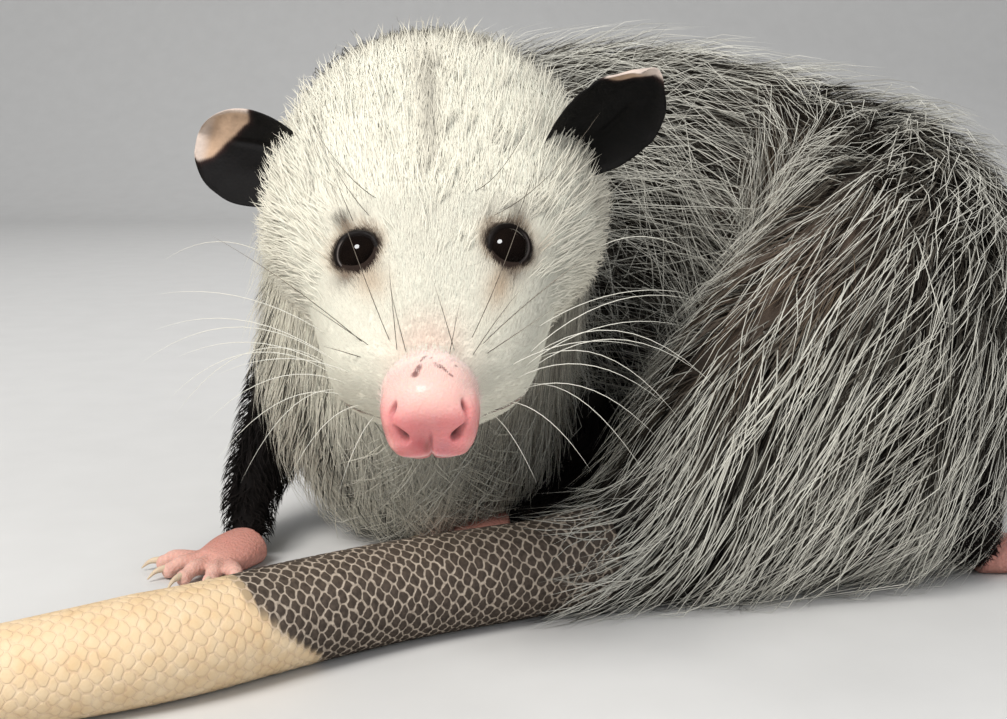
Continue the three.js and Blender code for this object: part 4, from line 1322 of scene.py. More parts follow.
def nose_colour(points):
    """Pink, deeper at the front, with brown spots behind; slits and nostrils darken with painted shade of
    their hollows.
    """
    x, front, up = points[:, 0], -points[:, 1] - MUZZLE_END, points[:, 2]
    ahead = soft_step(front, 5, 11)
    colour = plain(linear(244, 200, 188), len(points))
    colour = mix(colour, linear(250, 226, 214), 0.85 * soft_step(-front, -4.5, 0.5))
    colour = mix(colour, linear(232, 122, 126), 0.9 * ahead * soft_step(-up, -7.6, 0.4))
    lobe = np.exp(-((np.abs(x) - 8.8) / 1.8) ** 2) * soft_step(-up, 3, 7)
    wing = np.exp(-((np.abs(x) - 10.2) / 1.6) ** 2) * soft_step(-up, -6, 0)
    colour = mix(colour, linear(240, 176, 168), 0.7 * lobe)
    colour = mix(colour, linear(232, 158, 152), 0.6 * wing)
    red = np.exp(-((x + 2.4) / 2.2) ** 2 - ((up + 6.0) / 3.4) ** 2) * ahead
    colour = mix(colour, linear(190, 74, 84), 0.75 * red)
    brown = np.exp(-((x + 0.9) / 0.9) ** 2 - ((up + 7.4) / 2.2) ** 2) * ahead
    colour = mix(colour, linear(130, 74, 64), 0.7 * brown)
    mauve = np.exp(-((x - 2.6) / 2.4) ** 2) * soft_step(-up, 3, 7) * ahead
    colour = mix(colour, linear(200, 120, 130), 0.6 * mauve)
    colour = mix(colour, linear(244, 206, 202), 0.8 * np.exp(-((up + 10.1) / 0.5) ** 2) * ahead)
    for spot_x, spot_front, half, long, lean in NOSE_SPOTS:
        across, along = x - spot_x, front - spot_front
        across = across + lean * along
        far = np.sqrt((across / half) ** 2 + (along / long) ** 2)
        colour = mix(colour, linear(108, 66, 62), 0.9 * (up > 4) * soft_step(-far, -1.3, -0.7))
    # the slits and nostrils turn red, their inner skin's colour, and then near black, painted shade of
    # their hollows
    dark = np.clip(nostril_trace(points) / 2.2, 0, 1)
    colour = mix(colour, linear(206, 92, 96), np.clip(dark * 3, 0, 1) * 0.6)
    return mix(colour, linear(84, 18, 24), dark ** 1.4)


class OPOSSUM_OT_mouth(bpy.types.Operator):
    """Thin dark line of painted shade along the mouth, and the bare lip under it"""

    bl_idname = "opossum.mouth"
    bl_label = "Mouth"

    def execute(self, context):
        (front, high), (corner, low) = MOUTH
        stations = np.linspace(-9.6, -6.3, 60)
        angles = np.linspace(1.3, 3.0, 160)
        s, v = np.meshgrid(stations, angles, indexing="ij")
        parts, tones = [], []
        for side in SIDES.values():
            local = world_to_head(trunk(s, -side * v, -skin_depth(s, v) + 0.1))
            wanted = np.interp(-local[..., 1], (corner, front), (low, high))
            found = np.abs(local[..., 2] - wanted).argmin(1)
            line = local[np.arange(len(stations)), found]
            heading = unit(np.gradient(line, axis=0))
            outward = unit(line * np.array([1, 0, 0.4]))
            down = unit(np.cross(heading, outward))
            down *= np.sign(-down[:, 2:3])
            girth = np.interp(stations, [-9.6, -9.2, -7, -6.3], [0.3, 1.0, 0.9, 0.15])[:, None]
            for drop, thick, colour in MOUTH_SHADE_AND_LIP:
                turn = full_turn(10)[None, :, None]
                middle = line + down * drop * girth - outward * 0.25
                across = outward[:, None] * np.cos(turn) + down[:, None] * np.sin(turn)
                parts.append(capped(middle[:, None] + across * thick * girth[:, None]))
                tones.append(plain(colour, len(parts[-1][0])))
        points, faces = joined(parts)
        mesh = make_mesh("mouth", to_frame(head_to_world(points)), faces)
        paint(mesh, np.concatenate(tones))
        material = bare_material("bare lip", linear(160, 110, 100), 0.2, 1800.0, 0.4, 0.2, 0.1)
        add_object("lips", mesh, material, "bare_pink_skin")
        return {"FINISHED"}


def beside_mouth(local):
    """How far points of the head lie over or under the line of the mouth."""
    (front, high), (corner, low) = MOUTH
    gap = np.abs(local[..., 2] - np.interp(-local[..., 1], (corner, front), (low, high)) + 0.5)
    return np.where(-local[..., 1] > corner + 14, gap, FAR_OFF)


def ear_axes(ear):
    root, along, facing = (np.array(value, float) for value in ear)
    along = unit(along)
    facing = unit(facing - along * (facing @ along))
    return root, along, facing, np.cross(-facing, along)


def ear_surface(ear):
    root, along, facing, aside = ear_axes(ear)

    def place(part, v, lift):
        """part 0 to 1 up the ear, v -1 to 1 across it, lift in front of its face."""
        wide = np.where(
            part < EAR_WIDEST,
            0.5 + 0.5 * np.sin(math.pi * part / (2 * EAR_WIDEST)),
            np.sqrt(np.maximum(1 - ((part - EAR_WIDEST) / (1.03 - EAR_WIDEST)) ** 2, 0)),
        )
        deep = EAR_CUP * (1 - 0.5 * part) * (1 - v * v) + EAR_CUP * 0.5 * part * part
        up = EAR_LENGTH * (part - 0.06 * v * v * part)
        x = v * wide * EAR_WIDTH / 2
        y = -EAR_CUP + deep - lift
        local = root + aside * x[..., None] - facing * y[..., None] + along * up[..., None]
        return head_to_world(local)

    return place


def sheet_border(rows, columns):
    """Numbers of the points round the edge of a sheet, one way round."""
    return np.concatenate([
        np.arange(columns - 1),
        np.arange(rows - 1) * columns + columns - 1,
        (rows - 1) * columns + np.arange(columns - 1, 0, -1),
        np.arange(rows - 1, 0, -1) * columns,
    ])


def ear_leather(name, ear):
    """One ear as a thin closed sheet, cupped and folded."""
    rows, columns = 84, 64
    part, v = np.meshgrid(np.linspace(-0.15, 1, rows), np.linspace(-1, 1, columns), indexing="ij")
    place = ear_surface(ear)
    clipped = np.maximum(part, 0)
    grain = patches(place(part, v, np.zeros(part.shape)).reshape(-1, 3), 5, 7).reshape(part.shape)
    folds = 0.45 * np.sin(v * 9 + clipped * 3) * soft_step(0.75 - clipped, 0, 0.4) * (1 - v * v)
    ridge = 1.5 * np.exp(-((v + 0.25) / 0.12) ** 2) * soft_step(0.5 - clipped, 0, 0.3)
    crease = -0.8 * np.exp(-((v - 0.3 + 0.3 * (clipped - 0.5)) / 0.07) ** 2)
    crease *= soft_step(clipped, 0.3, 0.42) * soft_step(0.76 - clipped, 0, 0.1)
    edge = np.maximum(np.abs(v), clipped)
    rim = 0.4 * soft_step(edge, 0.9, 0.98)
    wavy = 0.5 * grain * soft_step(edge, 0.55, 0.95)
    thin = EAR_THICK * np.clip(1.2 - clipped * 0.55, 0.5, 1)
    thin = thin * np.sqrt(np.maximum(1 - edge ** 14, 0.02))
    front = place(part, v, folds + ridge + crease + rim + wavy + thin / 2)
    back = place(part, v, folds * 0.5 + crease + wavy - thin / 2)
    points = np.concatenate([front.reshape(-1, 3), back.reshape(-1, 3)])
    sheet = grid_faces(rows, columns, closed=False)
    border = sheet_border(rows, columns)
    following = np.roll(border, -1)
    total = rows * columns
    wall = np.stack([following, border, border + total, following + total], -1)
    mesh = make_mesh("ear_" + name, to_frame(points), [sheet, sheet[:, ::-1] + total, wall])
    share, across = np.tile(clipped.ravel(), 2), np.tile(v.ravel(), 2)
    paint(mesh, ear_colour(name, points, share, across))
    return mesh


def ear_colour(name, points, share, across):
    """Black leather with a pale tip, at points that lie share up the ear and across it."""
    start = EAR_TIP_START[name](across) + 0.012 * patches(points, 3, 3)
    tip = soft_step(share - start, -0.012, 0.02)
    outer = soft_step(np.maximum(np.abs(across), share), 0.86, 0.96)
    pale = mix(plain(linear(214, 180, 150), len(points)), linear(240, 220, 206), outer)
    colour = mix(plain(linear(15, 14, 14), len(points)), pale, tip)
    seam = np.exp(-((share - start) / 0.03) ** 2) * (1 - tip)
    return mix(colour, linear(70, 34, 26), 0.5 * seam)


class OPOSSUM_OT_ears(bpy.types.Operator):
    """Thin bare black ears, cupped and folded, with pale tips"""

    bl_idname = "opossum.ears"
    bl_label = "Ears"

    def execute(self, context):
        material = bare_material("thin black ear", linear(34, 31, 32), 0.5, 1100.0, 0.62, 0.3)
        for name, ear in EARS.items():
            mesh = ear_leather(name, ear)
            add_object("ear_leather_" + name, mesh, material, "bare_black_skin", "ear_" + name)
        return {"FINISHED"}


def tail_line(share):
    """Middle line of the tail and its heading, share 0 to 1 of its length."""
    points = np.vstack([2 * TAIL_PATH[0] - TAIL_PATH[1], TAIL_PATH, 2 * TAIL_PATH[-1] - TAIL_PATH[-2]])
    fine = []
    for k in range(len(TAIL_PATH) - 1):
        p0, p1, p2, p3 = points[k:k + 4]
        d0, d1, d2 = (np.linalg.norm(b - a) ** 0.5 for a, b in ((p0, p1), (p1, p2), (p2, p3)))
        leave = ((p1 - p0) / d0 - (p2 - p0) / (d0 + d1) + (p2 - p1) / d1) * d1
        arrive = ((p2 - p1) / d1 - (p3 - p1) / (d1 + d2) + (p3 - p2) / d2) * d1
        t = np.linspace(0, 1, 41)[:-1, None]
        bend, ease = 3 * (p2 - p1) - 2 * leave - arrive, 2 * (p1 - p2) + leave + arrive
        fine.append(p1 + t * (leave + t * (bend + t * ease)))
    fine = np.vstack([*fine, TAIL_PATH[-1:]])
    reach = np.concatenate([[0], np.cumsum(np.linalg.norm(np.diff(fine, axis=0), axis=1))])
    at = np.clip(share, 0, 1) * reach[-1]
    line = np.stack([np.interp(at, reach, fine[:, k]) for k in range(2)], -1)
    ahead = np.stack([np.interp(np.minimum(at + 1, reach[-1]), reach, fine[:, k]) for k in range(2)], -1)
    behind = np.stack([np.interp(np.maximum(at - 1, 0), reach, fine[:, k]) for k in range(2)], -1)
    return line, unit(ahead - behind), reach[-1]


def tail_surface(share, angle, lift):
    """Angle 0 is the top of the tail."""
    line, heading = tail_line(share)[:2]
    thinning = np.maximum(0, (share - 0.42) / 0.58)
    radius = TAIL_RADIUS + 1.2 * np.maximum(0, 1 - share / 0.06) - 10.4 * thinning ** 1.15
    outside = radius + lift
    across = np.stack([-heading[..., 1], heading[..., 0], np.zeros(share.shape)], -1)
    middle = np.stack([line[..., 0], line[..., 1], radius * 0.985], -1)
    point = middle + across * (outside * np.sin(angle))[..., None]
    point[..., 2] += outside * np.cos(angle)
    point[..., 2] = np.maximum(point[..., 2], 0.0)
    return point


def number_scales(mesh, ring, around):
    """Keeps each corner's ring and its place round the tail as a UV map, without a jump at the seam."""
    order = read_numbers(mesh.loops, "vertex_index")
    start = read_numbers(mesh.polygons, "loop_start")
    total = read_numbers(mesh.polygons, "loop_total")
    across = around[order]
    highest = np.maximum.reduceat(across, start)
    wraps = np.repeat(highest > SCALES_ROUND - 1.0, total) & (across < 1.0)
    across = np.where(wraps, across + SCALES_ROUND, across)
    add_map(mesh, "Rings", np.stack([ring[order], across], -1))


def tail_border(around):
    """Share of the tail's length where it turns pale, at places counted in scales round it."""
    turned = 2 * math.pi * around / SCALES_ROUND
    turned = np.where(turned > math.pi, turned - 2 * math.pi, turned)
    turned = turned + math.pi * np.where(turned > 0, -1, 1)
    return profile(TAIL_BORDER, turned)


class OPOSSUM_OT_tail(bpy.types.Operator):
    """Scaled tail, dark near the body and pale beyond a scalloped border"""

    bl_idname = "opossum.tail"
    bl_label = "Tail"

    def execute(self, context):
        length = tail_line(np.zeros(1))[2]
        rings_of_scales = round(length / SCALE_LENGTH)
        columns = SCALES_ROUND * 6
        rows = rings_of_scales * 4
        share, column = np.meshgrid(np.linspace(0, 1, rows), np.arange(columns), indexing="ij")
        angle = math.pi + 2 * math.pi * column / columns
        ring = share * rings_of_scales
        around = column * SCALES_ROUND / columns
        plate = scale_plates(ring, around)
        height = 0.3 * plate * (1 - 0.5 * share) * np.where(share > 0.32, 0.6, 1.0)
        end = np.clip((1 - share) / 0.012, 0, 1)
        points = tail_surface(share, angle, height)
        centre = points.mean(1, keepdims=True)
        points = centre + (points - centre) * np.sqrt(end * (2 - end) + 1e-4)[..., None]
        made, faces = capped(points)
        mesh = make_mesh("tail", to_frame(made), faces)
        ring_numbers = np.concatenate([ring.ravel(), [0, rings_of_scales]])
        around_numbers = np.concatenate([around.ravel(), [0, 0]])
        number_scales(mesh, ring_numbers, around_numbers)
        # the border follows whole scales
        border = tail_border(around_numbers) * rings_of_scales
        weigh(mesh, soft_step(border - ring_numbers.round(), -0.9, 0.9), "dark")
        replaced = ("tail_dark", "tail_pale", "tail_bend", "tail_tip")
        add_object("tail_skin", mesh, tail_material(), "dark_scales", *replaced)
        return {"FINISHED"}


def scale_plates(ring, around):
    """1 on the scales and 0 in the furrows between them."""
    def distance(shift, beyond):
        across = ((ring * 0.5 + 0.5 + shift / 2) % 1 - 0.5) * 2
        upward = np.abs((around + 0.5 + shift / 2) % 1 - 0.5)
        upward = (1 - upward if beyond else upward) * SCALE_STRETCH
        return np.hypot(across, upward)

    first, second = distance(0, False), distance(1, False)
    following = np.minimum(np.maximum(first, second), np.minimum(distance(0, True), distance(1, True)))
    return soft_step(following - np.minimum(first, second), 0.1, 0.4)


def foot_parts(foot, rows_of_toe, clawed_only=False):
    """Palm and toes of a foot as closed bodies, or its claws alone."""
    wrist, turn, palm, wide, toes = foot
    heading = np.array([math.cos(math.radians(turn)), math.sin(math.radians(turn))])
    across = np.array([-heading[1], heading[0]])

    def joint(ahead, aside, up, half, high):
        x, y = np.array(wrist) + heading * ahead + across * aside
        return [x, y, up, half, high]

    found = []
    if not clawed_only:
        rows = [joint(palm * share, 0, high * 0.8, wide * half, high) for share, half, high in PALM_ROWS]
        found.append(swept(limb_surface(rows), 0, 2, 24, 24, 0))
    for spread, length, place, clawed in toes:
        if clawed_only and not clawed:
            continue
        angle = math.radians(spread)
        rows = []
        for share, past, up, radius in rows_of_toe:
            distance = length * share + past
            ahead = palm * place + distance * math.cos(angle)
            aside = spread / 120 * wide + distance * math.sin(angle)
            rows.append(joint(ahead, aside, up, radius, radius))
        found.append(swept(limb_surface(rows), 0, len(rows) - 1, 24, 16, 0))
    return found


class OPOSSUM_OT_feet(bpy.types.Operator):
    """Bare pink feet with ringed toes and pale claws"""

    bl_idname = "opossum.feet"
    bl_label = "Feet"

    def execute(self, context):
        flesh = bare_material("bare pink foot", linear(206, 140, 126), 0.35, 1300.0, 0.45, 0.6, 0.15)
        horn = bare_material("horn claw", linear(236, 220, 196), 0.3, 2000.0, 0.25, 0.1, 0.1)
        for name, foot in FEET.items():
            mesh = fused(name, foot_parts(foot, TOE_ROWS), 0.85, 2)
            points = vertices_of(mesh)
            wrist = np.array([*foot[0], 0.0])
            away = np.linalg.norm((points - wrist)[:, :2], axis=1)
            ringed = 0.1 * np.sin(away * 4.2) * (points[:, 2] > 2.5)
            pale = plain(linear(232, 188, 172), len(points))
            colour = mix(pale, linear(206, 146, 132), soft_step(-away, -30, -12))
            colour *= (1 + ringed)[:, None]
            points[:, 2] = np.maximum(points[:, 2], 0.2)
            mesh.vertices.foreach_set("co", to_frame(points).astype(np.float32).ravel())
            paint(mesh, colour)
            add_object(name + "_skin", mesh, flesh, "bare_pink_skin", name)
            points, faces = joined(foot_parts(foot, CLAW_ROWS, True))
            claws = make_mesh(name + "_claws", to_frame(points), faces)
            paint(claws, plain(linear(214, 192, 164), len(points)))
            add_object(name + "_claws", claws, horn, "claw")
        return {"FINISHED"}


# Coat


def tufted(random, span, tufts, each, spread, density=None):
    """Roots on the trunk in small groups: places of all strands and the tuft each belongs to."""
    tuft_u, tuft_v = scatter(trunk, span, tufts, random, density)
    nudge = 0.01
    here = trunk(tuft_u, tuft_v, np.zeros(tufts))
    per_u = np.linalg.norm(trunk(tuft_u + nudge, tuft_v, np.zeros(tufts)) - here, axis=1) / nudge
    per_v = np.linalg.norm(trunk(tuft_u, tuft_v + nudge, np.zeros(tufts)) - here, axis=1) / nudge
    owner = np.repeat(np.arange(tufts), each)
    u = tuft_u[owner] + random.normal(0, spread, tufts * each) / np.maximum(per_u[owner], 3)
    v = tuft_v[owner] + random.normal(0, spread, tufts * each) / np.maximum(per_v[owner], 2)
    return u, v, tuft_u, tuft_v, owner


def strands_amount(count):
    return count


class OPOSSUM_OT_face_coat(bpy.types.Operator):
    """Short cream hair of the face, longer on the cheeks and crown"""

    bl_idname = "opossum.face_coat"
    bl_label = "Face coat"

    def execute(self, context):
        settings = context.scene.opossum_coat
        material = fibre_material("short face hair", 0.12, 0.06, 0.04)
        for number, (first, last, share, shares) in enumerate(FACE_SPANS):
            random = np.random.default_rng(5 + number)
            count = strands_amount(round(settings.face_strands * share))
            tufts = count // 5
            u, v, _, tuft_v, owner = tufted(random, (first, last), tufts, 5, 1.2)
            roots = trunk(u, v, -skin_depth(u, v))
            local = world_to_head(roots)
            gap = past_lids(local)
            from_ears = [np.linalg.norm(local - np.array(ear[0]), axis=1) for ear in EARS.values()]
            from_ear = np.minimum(*from_ears)
            rows = np.where((gap > 0.8) & (from_ear > 4) & (beside_mouth(local) > 0.4))[0]
            u, v, gap, owner = u[rows], v[rows], gap[rows], owner[rows]
            cheek = np.clip((np.abs(v) - 0.9) / 0.8, 0, 1) * np.clip((u + 6) / 3, 0, 1)
            length = profile(FACE_HAIR_LENGTH, u) + 7 * cheek
            length = np.minimum(length, 1.1 + 0.8 * gap) * random.uniform(0.75, 1.2, len(u))
            steep = 0.12 * np.sin(2 * tuft_v[owner]) + random.normal(0, 0.12, len(u)) + 0.3 * cheek
            low = -skin_depth(u, v) - 0.3
            high = profile(FACE_HAIR_RISE, u) + 2.4 * cheek
            high = high + random.uniform(-0.2, 0.8, len(u)) * profile(FACE_HAIR_LOOSE, u)
            strands = grow(trunk, u, v, length, steep, low, high, shares)
            strands.wave(random, 0.07 * length.mean(), 0.035 * length.mean())
            outside = past_lids(world_to_head(strands.points)).min(1) > -0.1
            colour, grey = markings(strands.points[:, 0], u)
            speckle = random.normal(0, 0.18, len(u)) * (grey > 0.02)
            dark = mix(plain(GREY, len(u)), CHARCOAL, random.uniform(0, 1, len(u)))
            tint = mix(colour, dark, 0.8 * np.clip(grey * 1.1 + speckle, 0, 1))
            shade = random.uniform(0.94, 1.03, len(u)) * random.uniform(0.95, 1.03, tufts)[owner]
            tint = tint * shade[:, None]
            width = profile(FACE_HAIR_WIDTH, u) * random.uniform(0.8, 1.2, len(u))
            strands.keep(outside)
            tint, width = tint[outside], width[outside]
            title = "face_coat_%d" % (number + 1)
            tip = np.minimum(tint * 1.03, 0.93)
            mesh = blades(title, strands, width, tint * 0.97, tip, (first, last), 0.88)
            add_object(title, mesh, material, "white_fur")
        return {"FINISHED"}


def fringe_density(u, v):
    return np.clip(np.abs(v) - 0.55, 0.08, 1) * np.clip((u + 6.8) / 2, 0.1, 1) * (u < 0.8)


class OPOSSUM_OT_fringe(bpy.types.Operator):
    """Loose longer hair that breaks the outline of cheeks, crown and ear roots"""

    bl_idname = "opossum.fringe"
    bl_label = "Fringe of the head"

    def execute(self, context):
        settings = context.scene.opossum_coat
        material = fibre_material("long cheek hair", 0.15, 0.08, 0.1)
        random = np.random.default_rng(31)
        tufts = strands_amount(settings.fringe_strands) // 3
        u, v, tuft_u, tuft_v, owner = tufted(random, FRINGE_SPAN, tufts, 3, 1.0, fringe_density)
        cheek = np.clip((np.abs(v) - 0.9) / 0.8, 0, 1)
        length = profile(FRINGE_LENGTH, u) * random.uniform(0.7, 1.3, len(u))
        steep = 0.1 + 0.35 * cheek + random.normal(0, 0.22, tufts)[owner]
        steep = steep + random.normal(0, 0.1, len(u))
        high = profile(FRINGE_RISE, u) * random.uniform(0.4, 1.5, len(u))
        shares = [0, 0.5, 1]
        strands = grow(trunk, u, v, length, steep, -skin_depth(u, v) - 0.3, high, shares)
        guide = grow(
            trunk, tuft_u, tuft_v, np.interp(tuft_u, FRINGE_SPAN, [7, 24]),
            0.1 + 0.3 * np.abs(np.sin(tuft_v)), -skin_depth(tuft_u, tuft_v),
            np.interp(tuft_u, FRINGE_SPAN, [1.5, 6.0]), shares,
        )
        strands.gather(guide.points[owner], 0.35)
        strands.wave(random, 1.0, 0.5)
        clear = past_lids(world_to_head(strands.points)).min(1) > 2.5
        colour, grey = markings(strands.points[:, 0], u)
        tint = mix(colour, GREY * 1.3, 0.6 * grey) * random.uniform(0.9, 1.02, len(u))[:, None]
        brown = soft_step(-v, 0.7, 1.3) * soft_step(u, -5.4, -3.6) * random.uniform(0.3, 1.0, len(u))
        tip = mix(tint, BROWN * 0.8, 0.75 * brown * (1 - soft_step(-v, 1.9, 2.6)))
        width = 0.28 * random.uniform(0.8, 1.3, len(u))
        strands.keep(clear)
        tint, tip, width = tint[clear], tip[clear], width[clear]
        tip = np.minimum(tip, 0.93)
        mesh = blades("face_fringe", strands, width, tint * 0.97, tip, FRINGE_SPAN, 0.7)
        add_object("face_fringe", mesh, material, "white_fur")
        return {"FINISHED"}


def coat_lengths(u):
    return profile(COAT_LENGTH_SHARES, u)


def lie_of_coat(u, v):
    """Angle between a strand and the back's line, steeper down the flanks, along the tail at its root."""
    return (0.2 + 0.62 * np.minimum(1, np.abs(v) / 1.6)) * (1 - 0.9 * soft_step(u, 12.2, 13.4))


class OPOSSUM_OT_underfur(bpy.types.Operator):
    """Dense dark underfur in tufts over neck and torso"""

    bl_idname = "opossum.underfur"
    bl_label = "Underfur"

    def execute(self, context):
        settings = context.scene.opossum_coat
        material = fibre_material("dark underfur", 0.5, 0.35, 0.5)
        for name, (first, last, seed) in COAT_SPANS.items():
            random = np.random.default_rng(seed)
            count = strands_amount(settings.under_strands // len(COAT_SPANS))
            tufts, each = count // 6, 6
            u, v, tuft_u, tuft_v, owner = tufted(random, (first, last), tufts, each, 2.4)
            shares = [0, 0.5, 1]
            scale = coat_lengths(tuft_u)
            length = settings.under_length * PER_METRE * scale * random.uniform(0.85, 1.15, tufts)
            steep = lie_of_coat(tuft_u, tuft_v) + random.normal(0, 0.25, tufts)
            low = -skin_depth(tuft_u, tuft_v) - 0.8
            high = (1.6 + random.uniform(-1.6, 1.6, tufts)) * scale
            guide = grow(trunk, tuft_u, tuft_v, length, steep, low, high, shares)
            strands = grow(
                trunk, u, v, length[owner] * random.uniform(0.8, 1.1, len(u)),
                steep[owner] + random.normal(0, 0.12, len(u)), low[owner], high[owner], shares,
            )
            strands.gather(guide.points[owner], 0.55)
            strands.wave(random, 1.4, 0.8)
            colour, grey = markings(strands.points[:, 0], u)
            patchy = random.uniform(0, 1, tufts)[owner]
            dark = mix(plain(CHARCOAL, len(u)), GREY, 0.7 * patchy ** 2)
            dark = mix(dark, BROWN, 0.85 * thin_patch(u, v))
            tint = mix(colour * 0.85, dark, np.clip(grey + 0.1 * random.normal(0, 1, len(u)), 0, 1))
            width = np.full(len(u), UNDERFUR_WIDTH)
            title = "underfur_" + name
            mesh = blades(title, strands, width, tint, tint * 0.8, (first, last), 0.4)
            add_object(title, mesh, material, "grey_coat")
        return {"FINISHED"}


def thin_patch(u, v):
    """1 in the middle of the flank's thin places, where brown skin and short hair show."""
    inner = np.exp(-((u - 8.5) / 1.3) ** 2 - ((v + 0.95) / 0.5) ** 2)
    outer = np.exp(-((u - 11.4) / 1.0) ** 2 - ((v - 0.15) / 0.45) ** 2)
    return np.maximum(inner, outer)


class OPOSSUM_OT_guard_hair(bpy.types.Operator):
    """Grey hairs and long white guard hairs, loose and crossing, over the underfur"""

    bl_idname = "opossum.guard_hair"
    bl_label = "Guard hair"

    def execute(self, context):
        settings = context.scene.opossum_coat
        material = fibre_material("white guard hair", 0.2, 0.15, 0.3)
        for layer, (share, reach, girth, proud, waving, shares) in HAIR_LAYERS.items():
            for name, (first, last, seed) in COAT_SPANS.items():
                random = np.random.default_rng(seed + 40 + len(shares))
                count = strands_amount(round(settings.guard_strands * share / len(COAT_SPANS)))
                tufts, each = count // 2, 2
                u, v, tuft_u, tuft_v, owner = tufted(random, (first, last), tufts, each, 1.8)
                here = np.where(random.uniform(0, 1, len(u)) > 0.6 * thin_patch(u, v))[0]
                u, v, owner = u[here], v[here], owner[here]
                scale = coat_lengths(u)
                length = settings.guard_length * PER_METRE * reach * scale
                length = length * random.uniform(0.62, 1.25, len(u))
                tangled = np.clip(1.3 - np.abs(u - 4.2) / 2.8, 0, 1) * np.exp(-((v + 1.4) / 1.0) ** 2)
                steep = lie_of_coat(tuft_u, tuft_v) + random.normal(0, 0.16, tufts)
                steep = steep[owner] + random.normal(0, 1, len(u)) * (0.1 + 0.8 * tangled)
                low = -skin_depth(u, v) - 0.5
                high = (proud + random.uniform(-4.5, 4.5, len(u))) * scale
                strands = grow(trunk, u, v, length, steep, low, high, shares)
                strands.wave(random, waving, 1.6, 0.6)
                colour, grey = markings(strands.points[:, 0], u)
                if layer == "white":
                    pale = mix(plain(WHITE, len(u)), GREY, 0.7 * random.uniform(0, 1, len(u)) ** 3)
                else:
                    pale = mix(plain(GREY, len(u)), CHARCOAL, random.uniform(0, 1, len(u)) ** 0.6)
                    pale = mix(pale, TAN, 0.5 * thin_patch(u, v))
                tint = mix(colour, pale, grey)
                width = girth * random.uniform(0.7, 1.35, len(u))
                title = "%s_hair_%s" % (layer, name)
                mesh = blades(title, strands, width, tint * 0.55, tint, (first, last), 0.45)
                add_object(title, mesh, material, "grey_coat")
        return {"FINISHED"}


class OPOSSUM_OT_leg_coat(bpy.types.Operator):
    """Short black hair of the legs"""

    bl_idname = "opossum.leg_coat"
    bl_label = "Leg coat"

    def execute(self, context):
        material = fibre_material("black leg hair", 0.4, 0.2, 0.3)
        for number, (name, joints) in enumerate(LEGS.items()):
            random = np.random.default_rng(80 + number)
            surface = limb_surface(joints)
            count = strands_amount(LEG_STRANDS)
            u, v = scatter(surface, LEG_SPAN, count, random)
            length = profile(LEG_HAIR_LENGTH, u) * random.uniform(0.8, 1.2, count)
            strands = grow(
                surface, u, v, length, random.normal(0.1, 0.2, count), np.full(count, -2.8),
                np.interp(u, [0, 3], [2.0, 0.6]), [0, 0.5, 1],
            )
            strands.wave(random, 0.8, 0.4)
            tint = plain(BLACK, count) * random.uniform(0.7, 2.2, count)[:, None]
            mesh = blades(name + "_coat", strands, np.full(count, 0.5), tint, tint, LEG_SPAN, 0.4)
            add_object(name + "_coat", mesh, material, "black_fur")
        return {"FINISHED"}


class OPOSSUM_OT_whiskers(bpy.types.Operator):
    """Long stiff whiskers of muzzle, brow and cheek"""

    bl_idname = "opossum.whiskers"
    bl_label = "Whiskers"

    def execute(self, context):
        material = fibre_material("whisker", 0.1, 0.0, 0.05)
        random = np.random.default_rng(91)
        rows = np.array([row for side in WHISKERS.values() for row in side])
        count = len(rows)
        u, v = rows[:, 0], rows[:, 1]
        root = world_to_head(trunk(u, v, np.full(count, -1.2)))
        reach = rows[:, 2:3] * np.array([1.0, 0, 0]) + rows[:, 3:4] * VIEW_UP + rows[:, 4:5] * VIEW_NEAR
        sag = -rows[:, 5:6] * VIEW_UP
        shares = np.linspace(0, 1, 12)
        points = np.zeros((count, len(shares), 3))
        for k, share in enumerate(shares):
            curve = 4 * share * (1 - share)
            points[:, k] = root + reach * share - sag * (curve * 0.6) + sag * (share ** 2) * 0.4
        jitter = random.normal(0, 0.5, (count, 3))
        points += jitter[:, None] * (shares ** 2)[None, :, None]
        points = head_to_world(points)
        near = unit(np.array([0.0, -1.0, 0.3]))
        normals = np.broadcast_to(near, points.shape).copy()
        strands = Strands(points, normals, (u, v), shares)
        dark = rows[:, 6]
        tint = mix(plain(WHITE, count), linear(74, 66, 58), dark)
        tip = mix(plain(WHITE, count), linear(150, 140, 126), dark)
        width = np.where(dark > 0, 0.2, 0.22)
        mesh = blades("whiskers", strands, width, tint, tip, (-9, -3), 0.2)
        add_object("whiskers", mesh, material, "white_fur")
        return {"FINISHED"}


# Stage


def area_light(name, place, size, power, colour, shows):
    """A round soft light aimed at the animal, and only one that shows is mirrored in eyes and nose."""
    data = bpy.data.lights.new(name, "AREA")
    data.shape = "DISK"
    data.size = size
    data.energy = power
    data.color = colour
    light = bpy.data.objects.new(name, data)
    light.location = place
    light.rotation_euler = (Vector(LIGHT_AIM) - Vector(place)).to_track_quat("-Z", "Y").to_euler()
    light.visible_glossy = shows
    bpy.context.scene.collection.objects.link(light)


def pale_floor():
    """Floor that curves up into a backdrop."""
    material, shader = new_material("pale floor")
    tree = material.node_tree
    color = mix_node(tree, noise_node(tree, 40.0, 3.0), (0.66, 0.65, 0.63, 1), (0.72, 0.71, 0.69, 1))
    feed(tree, shader, {"Base Color": color, "Roughness": 0.8})
    bend, far, high = 0.6, 1.6, 2.4
    turns = np.linspace(0, math.pi / 2, 16)
    curve = [(far + bend * math.sin(t), bend * (1 - math.cos(t))) for t in turns]
    outline = [(-3.0, 0.0), *curve, (far + bend, high)]
    points = np.array([[x, y, z] for y, z in outline for x in (-4.0, 4.0)])
    mesh = make_mesh("floor", points, grid_faces(len(outline), 2, closed=False))
    mesh.materials.append(material)
    floor = bpy.data.objects.new("floor", mesh)
    floor.visible_glossy = False
    bpy.context.scene.collection.objects.link(floor)


